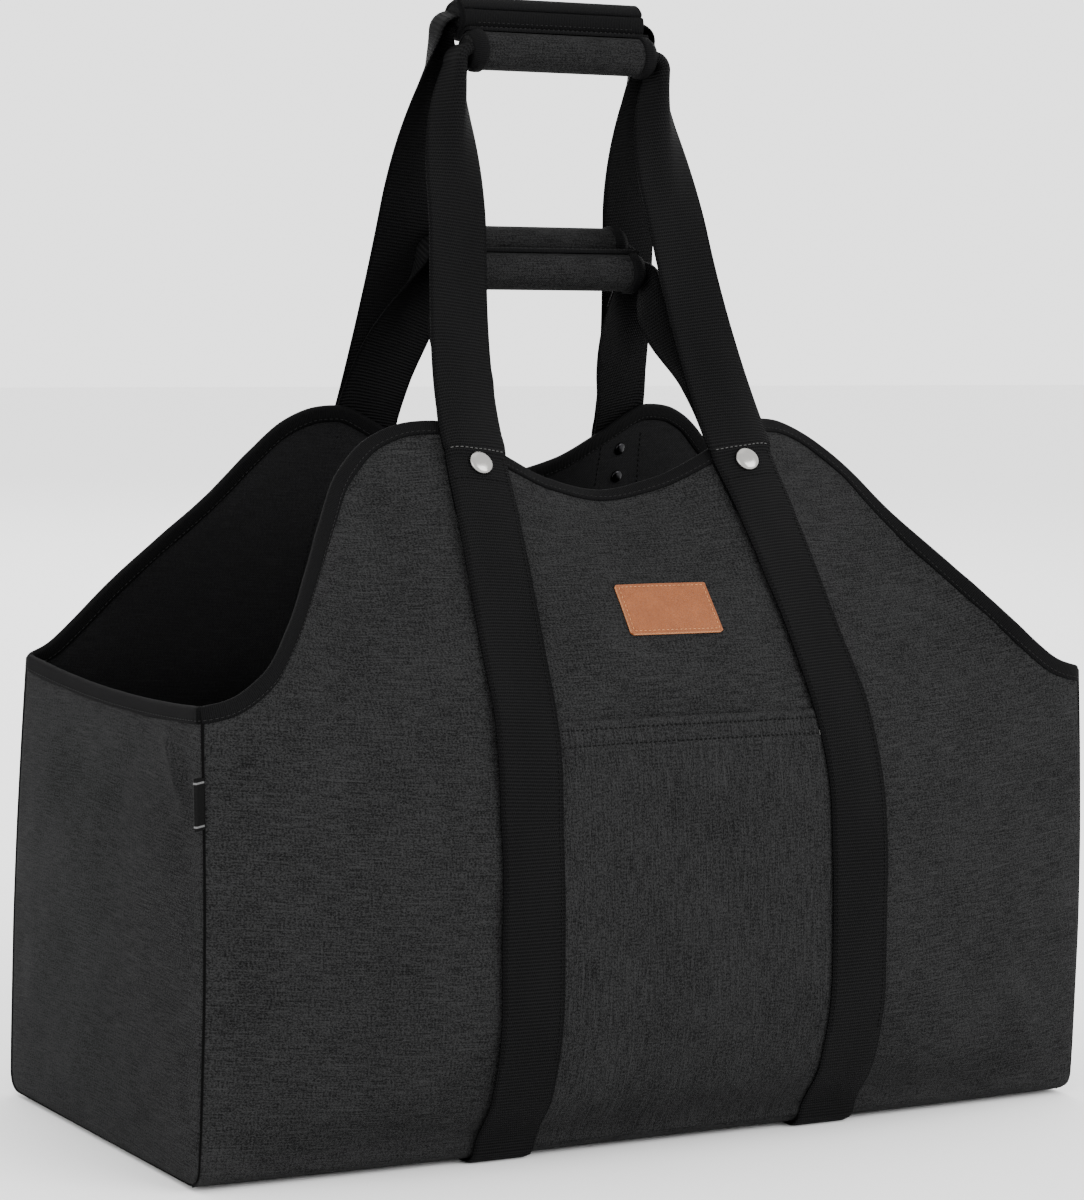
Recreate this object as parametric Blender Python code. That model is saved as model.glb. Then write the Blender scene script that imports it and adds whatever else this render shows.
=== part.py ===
# Firewood bag: a waxed canvas tote with four webbing handles, standing open on its base.
# X runs along the bag from end to end, -Y is its front, +Z is up, and the origin lies on the
# floor under its middle. Units are metres.

import math
from collections import namedtuple

import bpy
import numpy as np

# Driving dimensions of the canvas body
LENGTH = 0.580
DEPTH = 0.247
CORNER_HEIGHT = 0.255
HUMP_HEIGHT = 0.397
CANVAS = 0.0020
BULGE = 0.0354
END_BULGE = 0.004
END_RIM_SAG = 0.005
CORNER_TAPER = 0.0105
FOLD_RADIUS = 0.012

# Webbing, its handles and their padded grips
WEBBING_WIDTH = 0.038
WEBBING = 0.0016
STRAP_BASE_X = 0.107
STRAP_RIM_X = 0.088
STRAP_END_GAP = 0.0010
CURL = 5.2
GRIP_LENGTH = 0.122
GRIP_DIAMETER = 0.0244
TURN_RADIUS = 0.012
LONG_FRONT_GRIP = (0.029, 0.605)
LONG_BACK_GRIP = (0.0465, 0.6225)
SHORT_FRONT_GRIP = (0.033, 0.480)
SHORT_BACK_GRIP = (0.0535, 0.4942)

# Binding, pocket, patch, tab and rivets
TAPE = 0.0010
BINDING_DEPTH = 0.0085
POCKET_HEIGHT = 0.242
POCKET_CLOTH = 0.0015
PATCH_LENGTH = 0.060
PATCH_HEIGHT = 0.030
PATCH_LEATHER = 0.0016
PATCH_CENTRE = (0.006, 0.298)
TAB_LENGTH = 0.010
TAB_HEIGHT = 0.027
TAB_THICKNESS = 0.0012
TAB_CENTRE_HEIGHT = 0.207
RIVET_CAP = 0.0145
RIVET_CAP_RISE = 0.0030
RIVET_POST = 0.0042
RIVET_BURR = 0.0075
RIVET_BURR_RISE = 0.0020
RIVET_DROP = 0.0195
RIVET_PITCH = 0.019
SHORT_STRAP_TAIL = 0.050

# Clearances
GAP = 0.0003
SLOT_GAP = 0.0012
HOLE_GAP = 0.0003
SEAT_GAP = 0.0009
PATCH_GAP = 0.0008
WALL_GAP = 0.0011
LAYER_GAP = 0.0006
BORE_GAP = 0.0007

# Worked out from the sizes above
HALF_LENGTH = LENGTH / 2
HALF_DEPTH = DEPTH / 2
BASE_HEIGHT = WEBBING + GAP
RISE = HUMP_HEIGHT - CORNER_HEIGHT
BINDING_STAND = SLOT_GAP + TAPE
TAPE_CLEAR = BINDING_DEPTH + SLOT_GAP
CURL_RADIUS = WEBBING_WIDTH / CURL
GRIP_BORE = CURL_RADIUS + WEBBING / 2 + BORE_GAP

# The rim from the middle of the bag to its corner. base_x, front_x and back_x are shares of
# the half length, front_y and back_y of the half depth, and rise is the share of the way
# from the corner's height to the hump's. fullness is how long the cloth stays out before it
# leans in to the rim: 1 is a straight lean.
Row = namedtuple("Row", "base_x front_x front_y back_x back_y rise fullness")
RIM = [
    Row(0.000, 0.000, 0.267, 0.000, 0.656, 0.720, 1.6),
    Row(0.172, 0.124, 0.283, 0.124, 0.664, 0.770, 1.45),
    Row(0.293, 0.228, 0.300, 0.228, 0.680, 0.865, 1.2),
    Row(0.369, 0.303, 0.285, 0.303, 0.700, 0.950, 1.08),
    Row(0.422, 0.359, 0.243, 0.359, 0.713, 1.000, 1.05),
    Row(0.479, 0.414, 0.200, 0.407, 0.729, 0.995, 1.05),
    Row(0.560, 0.490, 0.185, 0.470, 0.758, 0.945, 1.05),
    Row(0.650, 0.580, 0.265, 0.545, 0.790, 0.810, 1.05),
    Row(0.728, 0.648, 0.420, 0.631, 0.818, 0.630, 1.05),
    Row(0.795, 0.716, 0.610, 0.727, 0.850, 0.462, 1.05),
    Row(0.860, 0.795, 0.815, 0.830, 0.881, 0.275, 1.0),
    Row(0.918, 0.868, 0.930, 0.905, 0.902, 0.120, 1.0),
    Row(0.965, 0.942, 0.940, 0.960, 0.913, 0.025, 1.0),
    Row(1.000, 1.000, 0.915, 1.000, 0.915, 0.000, 1.0),
]

# The wall's bulge between its bottom fold and the pocket's hem: height is a share of the
# pocket's height, bulge a share of BULGE.
Level = namedtuple("Level", "height bulge")
WALL_LEVELS = [
    Level(0.174, 0.68),
    Level(0.380, 1.00),
    Level(0.590, 1.00),
    Level(0.826, 0.81),
    Level(1.000, 0.46),
]
FOLD_BULGE = 0.15
UPPER_LEVELS = (0.25, 0.50, 0.75, 1.00)
LEAN_START = 0.75
FOLD_STEPS = 3

# Each handle's way from the rim to the turn at its grip. lean is the slope of the webbing
# into the turn, and start is the share of the way where it begins to curl.
Handle = namedtuple("Handle", "side grip lean start pull")
HANDLES = {
    "long_strap_front": Handle(-1, LONG_FRONT_GRIP, 0.14, 0.50, 0.5),
    "long_strap_back": Handle(1, LONG_BACK_GRIP, -0.24, 0.58, 0.5),
    "short_strap_front": Handle(-1, SHORT_FRONT_GRIP, 0.80, 0.30, 0.5),
    "short_strap_back": Handle(1, SHORT_BACK_GRIP, -0.40, 0.30, 0.4),
}
FREE_STEPS = (0.15, 0.34, 0.52, 0.68, 0.84, 1.0)
TURN_STEPS = 3
CURL_END = 0.97
RIM_SHAPE_END = 0.5
MIN_CURL = 0.05
ACROSS = np.linspace(-0.5, 0.5, 6)
BINDING_CLIMB = 0.0025
TAIL_CLIMB = 0.008
LEVEL_MARGIN = 0.06
TWIST_LIMIT = 0.0022
END_SHARES = np.linspace(-1, 1, 7)
GRIP_SIDES = 12
GRIP_ROUND = 0.0015
RIVET_SIDES = 10
CUTTER_REACH = 0.010

# Colour, roughness and metallic value of each finish
Finish = namedtuple("Finish", "colour roughness metallic")
FINISHES = {
    "canvas": Finish((0.027, 0.027, 0.028), 0.85, 0.0),
    "webbing": Finish((0.006, 0.006, 0.006), 0.75, 0.0),
    "tape": Finish((0.005, 0.005, 0.005), 0.80, 0.0),
    "leather": Finish((0.545, 0.245, 0.115), 0.55, 0.0),
    "rivet_metal": Finish((0.62, 0.60, 0.57), 0.25, 1.0),
}


def clear_scene():
    for old in list(bpy.data.objects):
        bpy.data.objects.remove(old, do_unlink=True)


def material(node, finish):
    look = FINISHES[finish]
    made = bpy.data.materials.new(f"{node}_{finish}")
    made.use_nodes = True
    shader = made.node_tree.nodes["Principled BSDF"]
    shader.inputs["Base Color"].default_value = (*look.colour, 1.0)
    shader.inputs["Roughness"].default_value = look.roughness
    shader.inputs["Metallic"].default_value = look.metallic
    return made


def signed_volume(points, faces):
    """Volume of a closed mesh, negative when its faces point inwards."""
    total = 0.0
    for face in faces:
        for second, third in zip(face[1:-1], face[2:]):
            total += np.dot(points[face[0]], np.cross(points[second], points[third]))
    return total / 6


def add_solid(node, points, faces, finish):
    points = np.asarray(points, dtype=float)
    if signed_volume(points, faces) < 0:
        faces = [tuple(reversed(face)) for face in faces]
    mesh = bpy.data.meshes.new(node)
    mesh.from_pydata(points.tolist(), [], faces)
    mesh.update()
    mesh.shade_smooth()
    mesh.set_sharp_from_angle(angle=math.radians(40))
    made = bpy.data.objects.new(node, mesh)
    made.data.materials.append(material(node, finish))
    bpy.context.scene.collection.objects.link(made)
    return made


def ring_solid(node, sections, finish):
    """A ring through closed sections, each a loop of points, the last joined to the first."""
    sections = np.asarray(sections, dtype=float)
    stations, around = sections.shape[:2]
    faces = []
    for i in range(stations):
        for j in range(around):
            a = i * around + j
            b = i * around + (j + 1) % around
            c = ((i + 1) % stations) * around + (j + 1) % around
            d = ((i + 1) % stations) * around + j
            faces.append((a, b, c, d))
    return add_solid(node, sections.reshape(-1, 3), faces, finish)


def sheet_faces(grid, first, extra):
    """Triangles of one face of a sheet, the same in both halves of it. A cell that is twisted
    out of its plane gets a point in its middle, added to the list of extra points, and four
    triangles round it."""
    rows, columns = grid.shape[:2]
    faces = []
    for i in range(rows - 1):
        for j in range(columns - 1):
            corners = [(i, j), (i, j + 1), (i + 1, j + 1), (i + 1, j)]
            a, b, c, d = (first + row * columns + column for row, column in corners)
            p, q, r, s = (grid[place] for place in corners)
            if abs(np.dot(p - q + r - s, unit(np.cross(r - p, s - q)))) > TWIST_LIMIT:
                middle = -1 - len(extra)
                extra.append((p + q + r + s) / 4)
                faces += [(a, b, middle), (b, c, middle), (c, d, middle), (d, a, middle)]
            elif i < (rows - 1) / 2:
                faces += [(a, b, d), (b, c, d)]
            else:
                faces += [(a, b, c), (a, c, d)]
    return faces


def sheet_solid(node, outer, inner, finish):
    """A sheet between two grids of points of the same shape."""
    rows, columns = outer.shape[:2]
    count = rows * columns
    extra = []
    faces = sheet_faces(outer, 0, extra)
    faces += [tuple(reversed(face)) for face in sheet_faces(inner, count, extra)]
    faces = [tuple(2 * count - 1 - k if k < 0 else k for k in face) for face in faces]
    points = np.concatenate([outer.reshape(-1, 3), inner.reshape(-1, 3), *[[p] for p in extra]])
    border = [(0, j) for j in range(columns)]
    border += [(i, columns - 1) for i in range(1, rows)]
    border += [(rows - 1, j) for j in range(columns - 2, -1, -1)]
    border += [(i, 0) for i in range(rows - 2, 0, -1)]
    ring = [i * columns + j for i, j in border]
    for a, b in zip(ring, ring[1:] + ring[:1]):
        faces.append((b, a, count + a, count + b))
    return add_solid(node, points, faces, finish)


def unit(vectors):
    return vectors / np.linalg.norm(vectors, axis=-1, keepdims=True)


# The wall of one side, from the middle of the base to the rim

def corner_line(height):
    """Half length and half depth of the body's corner edge at a height."""
    share = height / CORNER_HEIGHT
    swell = END_BULGE * math.sin(math.pi * min(share, 1.0))
    return HALF_LENGTH + swell, HALF_DEPTH - CORNER_TAPER * share


def wall_column(row, front):
    """Points of one wall from the base's middle to the rim, at one row of the rim table."""
    rim_x = HALF_LENGTH * (row.front_x if front else row.back_x)
    rim_y = HALF_DEPTH * (row.front_y if front else row.back_y)
    rim_z = CORNER_HEIGHT + RISE * row.rise
    base_x = HALF_LENGTH * row.base_x
    dome = 1 - row.base_x ** 3

    def depth_at(height, bulge):
        return corner_line(height)[1] + dome * bulge * BULGE

    def x_at(height):
        lean_from = LEAN_START * CORNER_HEIGHT
        share = max(0.0, height - lean_from) / (rim_z - lean_from)
        swell = (corner_line(height)[0] - HALF_LENGTH) * row.base_x ** 4
        return base_x + (rim_x - base_x) * share ** 1.2 + swell

    fold_top = BASE_HEIGHT + FOLD_RADIUS
    fold_y = depth_at(fold_top, FOLD_BULGE)
    points = [(base_x, 0.0, BASE_HEIGHT)]
    for step in range(FOLD_STEPS + 1):
        angle = math.pi / 2 * step / FOLD_STEPS
        y = fold_y - FOLD_RADIUS * (1 - math.sin(angle))
        z = fold_top - FOLD_RADIUS * math.cos(angle)
        points.append((x_at(z), y, z))
    for level in WALL_LEVELS:
        z = POCKET_HEIGHT * level.height
        points.append((x_at(z), depth_at(z, level.bulge), z))
    hem_y = points[-1][1]
    for share in UPPER_LEVELS:
        z = POCKET_HEIGHT + (rim_z - POCKET_HEIGHT) * share
        y = hem_y + (rim_y - hem_y) * share ** row.fullness
        points.append((x_at(z), y, z))
    side = -1 if front else 1
    return [(x, side * y, z) for x, y, z in points]


def wall_grid(front):
    """Outer face of one wall: columns along X, points from the base's middle to the rim."""
    half = np.array([wall_column(row, front) for row in RIM])
    mirrored = half[:0:-1] * np.array([-1.0, 1.0, 1.0])
    return np.concatenate([mirrored, half])


def grid_normals(grid, outward):
    """Normals of a grid of points, all on the side where the given direction points."""
    along = np.gradient(grid, axis=0)
    up = np.gradient(grid, axis=1)
    normals = unit(np.cross(along, up))
    flip = np.sum(normals * outward, axis=-1, keepdims=True) < 0
    return np.where(flip, -normals, normals)


class Wall:
    """One wall of the body, with its points and outward normals read at any x and level."""

    def __init__(self, front):
        self.side = -1 if front else 1
        self.points = wall_grid(front)
        outward = np.zeros_like(self.points)
        outward[:, :, 1] = self.side
        outward[:, :FOLD_STEPS + 1, 2] = -1.5
        self.normals = grid_normals(self.points, outward)
        self.normals[:, 0] = (0.0, 0.0, -1.0)
        self.top = self.points.shape[1] - 1

    def at_level(self, level):
        """Every column's point and normal at a level, which may lie between two levels."""
        low = min(int(level), self.top - 1)
        part = level - low
        points = self.points[:, low] * (1 - part) + self.points[:, low + 1] * part
        normals = self.normals[:, low] * (1 - part) + self.normals[:, low + 1] * part
        return points, unit(normals)

    def at(self, x, level):
        """The outer face's point and normal at a distance along the bag and a level."""
        points, normals = self.at_level(level)
        point = np.array([np.interp(x, points[:, 0], points[:, k]) for k in range(3)])
        normal = np.array([np.interp(x, points[:, 0], normals[:, k]) for k in range(3)])
        return point, unit(normal)

    def level_of_height(self, x, height):
        """The level at which the outer face at x has a height, above the bottom fold."""
        heights = [self.at(x, level)[0][2] for level in range(FOLD_STEPS + 1, self.top + 1)]
        return FOLD_STEPS + 1 + float(np.interp(height, heights, range(len(heights))))

    def level_below_rim(self, x, drop):
        """The level that lies a distance below the rim, measured on the wall at x."""
        levels = np.linspace(FOLD_STEPS + 1, self.top, 60)
        path = np.array([self.at(x, level)[0] for level in levels])
        steps = np.linalg.norm(np.diff(path, axis=0), axis=1)
        left = np.concatenate([np.cumsum(steps[::-1])[::-1], [0.0]])
        return float(np.interp(drop, left[::-1], levels[::-1]))


# Canvas body

def build_main_panel(walls):
    """Front, base and back are one length of canvas folded up at both bottom edges."""
    front, back = walls
    outer = np.concatenate([front.points[:, :0:-1], back.points], axis=1)
    normals = np.concatenate([front.normals[:, :0:-1], back.normals], axis=1)
    return sheet_solid("main_panel", outer, outer - CANVAS * normals, "canvas")


def inner_edge(wall):
    """The wall's inner face along the body's corner edge, as its distances and heights."""
    edge = wall.points[-1] - CANVAS * wall.normals[-1]
    keep = list(range(1, wall.top - len(UPPER_LEVELS) + 1)) + [wall.top]
    return np.abs(edge[keep, 1]), edge[keep, 2]


def end_point(share, height, walls):
    """Outer face of the right end panel at a share of its width and a height on its edge."""
    reach = [np.interp(height, heights, depths) - GAP for depths, heights in map(inner_edge, walls)]
    middle = (reach[1] - reach[0]) / 2
    half = (reach[0] + reach[1]) / 2
    over_hem = max(0.0, (height - POCKET_HEIGHT) / (CORNER_HEIGHT - POCKET_HEIGHT))
    swell = END_BULGE * math.sin(math.pi * min(1.0, height / CORNER_HEIGHT))
    rounded = 1 - share ** 2
    x = corner_line(height)[0] + swell * rounded
    return np.array([x, middle + share * half, height - END_RIM_SAG * over_hem * rounded])


def end_panel_grid(walls):
    heights = inner_edge(walls[0])[1].copy()
    heights[0] = BASE_HEIGHT + CANVAS + GAP
    heights[-1] = CORNER_HEIGHT
    return np.array([[end_point(share, h, walls) for share in END_SHARES] for h in heights])


def build_end_panels(walls):
    """Each end is a panel of its own, between the front and back walls and on the base."""
    outer = end_panel_grid(walls)
    inner = outer - np.array([CANVAS, 0.0, 0.0])
    mirror = np.array([-1.0, 1.0, 1.0])
    sheet_solid("end_panel_right", outer, inner, "canvas")
    sheet_solid("end_panel_left", outer * mirror, inner * mirror, "canvas")


# Binding

def walk(path, length):
    """The point at a length along a path of points."""
    steps = np.linalg.norm(np.diff(path, axis=0), axis=1)
    so_far = np.concatenate([[0.0], np.cumsum(steps)])
    return np.array([np.interp(length, so_far, path[:, k]) for k in range(3)])


def edge_strips(grid, outward):
    """Along the upper edge of a grid, last row of points: where the binding starts and where
    it ends lower down on the cloth's outer face, each with the outward normal there. The
    tape's end is found down the grid's own column, so that it lies on the cloth."""
    rim = grid[:, -1]
    along = unit(np.gradient(rim, axis=0))
    fall = unit(grid[:, -2] - rim)
    across = np.cross(along, fall)
    reach = BINDING_DEPTH / np.linalg.norm(across, axis=1)
    lows = np.array([walk(column[::-1], length) for column, length in zip(grid, reach)])
    normals = unit(across)
    normals = np.where(np.sum(normals * outward, axis=1, keepdims=True) < 0, -normals, normals)
    return rim, lows, normals


def binding_stations(walls):
    """All the way round the rim: the edge's outer point, the point where the tape ends on the
    outer face, and the direction across the cloth, mitred at the corners."""
    front, back = (edge_strips(wall.points, np.array([0, wall.side, 0])) for wall in walls)
    right = edge_strips(end_panel_grid(walls).transpose(1, 0, 2), np.array([1, 0, 0]))
    mirror = np.array([-1.0, 1.0, 1.0])
    left = tuple(part * mirror for part in right)

    def stretch(edge, first, last, step):
        return [tuple(part[i] for part in edge) for i in range(first, last, step)]

    def corner(wall_edge, column, end_edge, place):
        tops, lows, normals = wall_edge
        across = normals[column] + end_edge[2][place]
        down = unit(np.cross(normals[column], end_edge[2][place]))
        down = down if down[2] < 0 else -down
        return [(tops[column], tops[column] + BINDING_DEPTH * down, across)]

    columns = len(front[0])
    places = len(END_SHARES)
    return (stretch(front, 1, columns - 1, 1) + corner(front, -1, right, 0)
            + stretch(right, 1, places - 1, 1) + corner(back, -1, right, -1)
            + stretch(back, columns - 2, 0, -1) + corner(back, 0, left, -1)
            + stretch(left, places - 2, 0, -1) + corner(front, 0, left, 0))


def build_binding(walls):
    """A tape folded over the rim: a U with the cloth's edge in its slot."""
    sections = []
    for top, low, across in binding_stations(walls):
        up = unit(top - low)
        outside = SLOT_GAP * across
        inside = -(CANVAS + SLOT_GAP) * across
        tape = TAPE * across
        slot_top = top + SLOT_GAP * up
        tape_top = slot_top + TAPE * up
        sections.append([
            low + outside + tape, tape_top + outside + tape, tape_top + inside - tape,
            low + inside - tape, low + inside, slot_top + inside, slot_top + outside,
            low + outside,
        ])
    ring_solid("rim_binding", sections, "tape")


# Webbing

def strap_centre_x(wall, level):
    """The webbing runs straight up the wall, then in towards the handle with the cloth."""
    height = wall.at(STRAP_BASE_X, level)[0][2]
    rim = wall.at(STRAP_RIM_X, wall.top)[0][2]
    lean_from = LEAN_START * CORNER_HEIGHT
    share = min(1.0, max(0.0, (height - lean_from) / (rim - lean_from)))
    return STRAP_BASE_X + (STRAP_RIM_X - STRAP_BASE_X) * share ** 1.2


def drop_level(wall, drop):
    return wall.level_below_rim(STRAP_RIM_X, drop)


def short_stand(drop):
    """How far the short strap's inner face stands off the wall: over the binding it rises."""
    climb = (TAPE_CLEAR + BINDING_CLIMB - drop) / BINDING_CLIMB
    return WALL_GAP + (BINDING_STAND + LAYER_GAP - WALL_GAP) * min(1.0, max(0.0, climb))


def between(low, high):
    """The wall's own levels well inside a stretch."""
    return [level for level in range(math.ceil(low), math.ceil(high))
            if low + LEVEL_MARGIN < level < high - LEVEL_MARGIN]


def wall_stations(wall, long):
    """Levels of one strap on the wall, each with the stand of its inner face."""
    drops = (SHORT_STRAP_TAIL, TAPE_CLEAR + BINDING_CLIMB, TAPE_CLEAR, 0.0)
    marks = [(drop_level(wall, drop), short_stand(drop)) for drop in drops]
    tail, climb = marks[0][0], marks[1][0]
    over_tape = marks[:1] + [(level, WALL_GAP) for level in between(tail, climb)] + marks[1:]
    if not long:
        return over_tape
    below = WALL_GAP + (POCKET_CLOTH if wall.side < 0 else 0.0)
    fold_end = FOLD_STEPS + 1
    first = STRAP_END_GAP / 2 / abs(wall.at(STRAP_BASE_X, 1)[0][1])
    stations = [(first, GAP)] + [(level, GAP) for level in range(1, fold_end - 1)]
    stations.append((fold_end - 1, (GAP + below) / 2))
    start = drop_level(wall, SHORT_STRAP_TAIL + TAIL_CLIMB)
    stations += [(level, below) for level in [fold_end] + between(fold_end, start) + [start]]
    return stations + [(level, stand + WEBBING + LAYER_GAP) for level, stand in over_tape]


def section_on_wall(wall, level, stand):
    """Outer and inner points across a strap lying on the wall."""
    centre = strap_centre_x(wall, level)
    outer = []
    inner = []
    for share in ACROSS:
        x = centre - wall.side * share * WEBBING_WIDTH
        point, normal = wall.at(x, level)
        outer.append(point + (stand + WEBBING) * normal)
        inner.append(point + stand * normal)
    return outer, inner


def curled_section(centre, along, normal, curl):
    """Outer and inner points across a strap that is curled through an angle about its own
    direction. Flat webbing lies on its path, and fully curled webbing is centred on it."""
    across = np.cross(along, normal)
    radius = WEBBING_WIDTH / curl
    rise = radius * (curl / CURL) ** 2
    outer = []
    inner = []
    for share in ACROSS:
        angle = share * curl
        for points, r in ((outer, radius + WEBBING / 2), (inner, radius - WEBBING / 2)):
            points.append(centre + across * r * math.sin(angle)
                          + normal * (rise - radius + r * math.cos(angle)))
    return outer, inner


def handle_path(wall, handle, stand):
    """From the rim in one smooth curve to the turn, then round the turn into the grip."""
    rim, rim_normal = wall.at(STRAP_RIM_X, wall.top)
    below = wall.at(strap_centre_x(wall, wall.top - 0.5), wall.top - 0.5)[0]
    start = rim + (stand + WEBBING / 2) * rim_normal
    leave = unit(rim - below)
    arrive = unit(np.array([0.0, handle.lean, 1.0]))
    grip_end = np.array([GRIP_LENGTH / 2 + GAP, *handle.grip])
    turn = grip_end + TURN_RADIUS * (np.array([1.0, 0.0, 0.0]) - arrive)
    reach = np.linalg.norm(turn - start) * handle.pull
    turn_normal = unit(np.cross(np.array([1.0, 0.0, 0.0]), arrive) * -wall.side)
    turn_normal = turn_normal if turn_normal[1] * wall.side > 0 else -turn_normal
    stations = []
    for share in (0.0, *FREE_STEPS):
        a, b, c, d = hermite(share)
        centre = a * start + b * leave * reach * 2 + c * turn + d * arrive * reach * 2
        p, q, r, s = hermite_slope(share)
        along = unit(p * start + q * leave * reach * 2 + r * turn + s * arrive * reach * 2)
        normal = rim_normal * (1 - share) + turn_normal * share
        normal = unit(normal - along * np.dot(along, normal))
        part = min(1.0, max(0.0, (share - handle.start) / (CURL_END - handle.start)))
        stations.append((share, centre, along, normal, MIN_CURL + (CURL - MIN_CURL) * ease(part)))
    inward = np.array([-1.0, 0.0, 0.0])
    for step in range(1, TURN_STEPS + 1):
        angle = math.pi / 2 * step / TURN_STEPS
        centre = turn + TURN_RADIUS * (math.sin(angle) * arrive + (1 - math.cos(angle)) * inward)
        along = math.cos(angle) * arrive + math.sin(angle) * inward
        stations.append((1.0, centre, along, turn_normal, CURL))
    middle = np.array([0.0, *handle.grip])
    stations.append((1.0, middle, inward, turn_normal, CURL))
    return stations


def hermite(t):
    """Weights of a cubic's start, start slope, end and end slope."""
    return 2 * t ** 3 - 3 * t ** 2 + 1, t ** 3 - 2 * t ** 2 + t, 3 * t ** 2 - 2 * t ** 3, t ** 3 - t ** 2


def hermite_slope(t):
    return 6 * t ** 2 - 6 * t, 3 * t ** 2 - 4 * t + 1, 6 * t - 6 * t ** 2, 3 * t ** 2 - 2 * t


def ease(t):
    return t * t * (3 - 2 * t)


def build_strap(node, walls):
    """Half of the strap from its lower end to the middle of its grip, and its mirror."""
    handle = HANDLES[node]
    wall = walls[0] if handle.side < 0 else walls[1]
    stations = wall_stations(wall, node.startswith("long"))
    on_wall = np.array([section_on_wall(wall, level, stand) for level, stand in stations])
    path = handle_path(wall, handle, stations[-1][1])
    free = np.array([curled_section(*station[1:]) for station in path])
    kept = np.array([1 - ease(min(1.0, station[0] / RIM_SHAPE_END)) for station in path])
    rim_shape = on_wall[-1] - free[0]
    free += kept[:, None, None, None] * rim_shape
    half = np.concatenate([on_wall, free[1:]])
    other = half[-2::-1] * np.array([-1.0, 1.0, 1.0])
    whole = np.concatenate([half, other])
    return sheet_solid(node, whole[:, 0], whole[:, 1], "webbing")


def build_grip(node, place):
    """A padded canvas roll round the curled webbing, its ends rounded off."""
    half = GRIP_LENGTH / 2
    radius = GRIP_DIAMETER / 2
    profile = [
        (-half, GRIP_BORE), (-half, radius - GRIP_ROUND), (-half + GRIP_ROUND, radius),
        (half - GRIP_ROUND, radius), (half, radius - GRIP_ROUND), (half, GRIP_BORE),
    ]
    sections = []
    for step in range(GRIP_SIDES):
        angle = 2 * math.pi * step / GRIP_SIDES
        sections.append([(x, place[0] + r * math.cos(angle), place[1] + r * math.sin(angle))
                         for x, r in profile])
    ring_solid(node, sections, "canvas")


# Rivets

def rivet_spot(wall, drop, sign):
    """Place on the wall's outer face, outward direction and a direction across it."""
    level = drop_level(wall, drop)
    x = strap_centre_x(wall, level)
    head = RIVET_CAP / 2
    along = wall.at(x + head, level)[0] - wall.at(x - head, level)[0]
    up = wall.at(x, level + 0.15)[0] - wall.at(x, level - 0.15)[0]
    normal = unit(np.cross(along, up))
    normal = normal if normal[1] * wall.side > 0 else -normal
    mirror = np.array([sign, 1.0, 1.0])
    return wall.at(x, level)[0] * mirror, normal * mirror


def turned(node, spot, profile, finish):
    """A solid turned about the rivet's axis; its profile holds radii and heights, inner end
    first, and starts and ends on the axis."""
    centre, axis = spot
    across = unit(np.cross(np.array([0.0, 0.0, 1.0]), axis))
    up = np.cross(axis, across)
    points = [centre + axis * profile[0][1]]
    for radius, height in profile[1:-1]:
        for step in range(RIVET_SIDES):
            angle = 2 * math.pi * step / RIVET_SIDES
            points.append(centre + axis * height
                          + radius * (math.cos(angle) * across + math.sin(angle) * up))
    points.append(centre + axis * profile[-1][1])
    faces = []
    rings = len(profile) - 2
    for step in range(RIVET_SIDES):
        following = (step + 1) % RIVET_SIDES
        faces.append((0, 1 + following, 1 + step))
        for ring in range(rings - 1):
            low = 1 + ring * RIVET_SIDES
            high = low + RIVET_SIDES
            faces.append((low + step, low + following, high + following, high + step))
        last = 1 + (rings - 1) * RIVET_SIDES
        faces.append((last + step, last + following, len(points) - 1))
    return add_solid(node, points, faces, finish)


def burr_profile():
    """The rivet's inner head and its post, up to the wall's outer face."""
    burr = RIVET_BURR / 2
    seat = -(CANVAS + SEAT_GAP)
    return [
        (0.0, seat - RIVET_BURR_RISE), (burr * 0.6, seat - RIVET_BURR_RISE * 0.8),
        (burr, seat - RIVET_BURR_RISE * 0.3), (burr, seat), (RIVET_POST / 2, seat),
    ]


def build_rivets(walls):
    """At each strap a capped rivet goes through both straps, and a plain one below it
    holds the short strap to the cloth, hidden under the long one."""
    holes = {"upper": [], "lower": []}
    for wall, face in zip(walls, ("front", "back")):
        for sign, hand in ((-1, "left"), (1, "right")):
            spot = rivet_spot(wall, RIVET_DROP, sign)
            seat = short_stand(RIVET_DROP) + 2 * WEBBING + LAYER_GAP + SEAT_GAP
            cap = RIVET_CAP / 2
            head = [
                (RIVET_POST / 2, seat), (cap, seat), (cap, seat + RIVET_CAP_RISE * 0.3),
                (cap * 0.72, seat + RIVET_CAP_RISE * 0.8), (0.0, seat + RIVET_CAP_RISE),
            ]
            turned(f"cap_rivet_{face}_{hand}", spot, burr_profile() + head, "rivet_metal")
            holes["upper"].append(spot)
            spot = rivet_spot(wall, RIVET_DROP + RIVET_PITCH, sign)
            flush = short_stand(RIVET_DROP + RIVET_PITCH) + WEBBING
            end = [(RIVET_POST / 2, flush), (0.0, flush)]
            turned(f"lower_rivet_{face}_{hand}", spot, burr_profile() + end, "rivet_metal")
            holes["lower"].append(spot)
    return holes


def hole_cutter(name, spot):
    radius = RIVET_POST / 2 + HOLE_GAP
    reach = CUTTER_REACH
    profile = [(0.0, -reach), (radius, -reach), (radius, reach), (0.0, reach)]
    cutter = turned(name, spot, profile, "rivet_metal")
    cutter.hide_render = True
    cutter.display_type = "WIRE"
    return cutter


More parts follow.
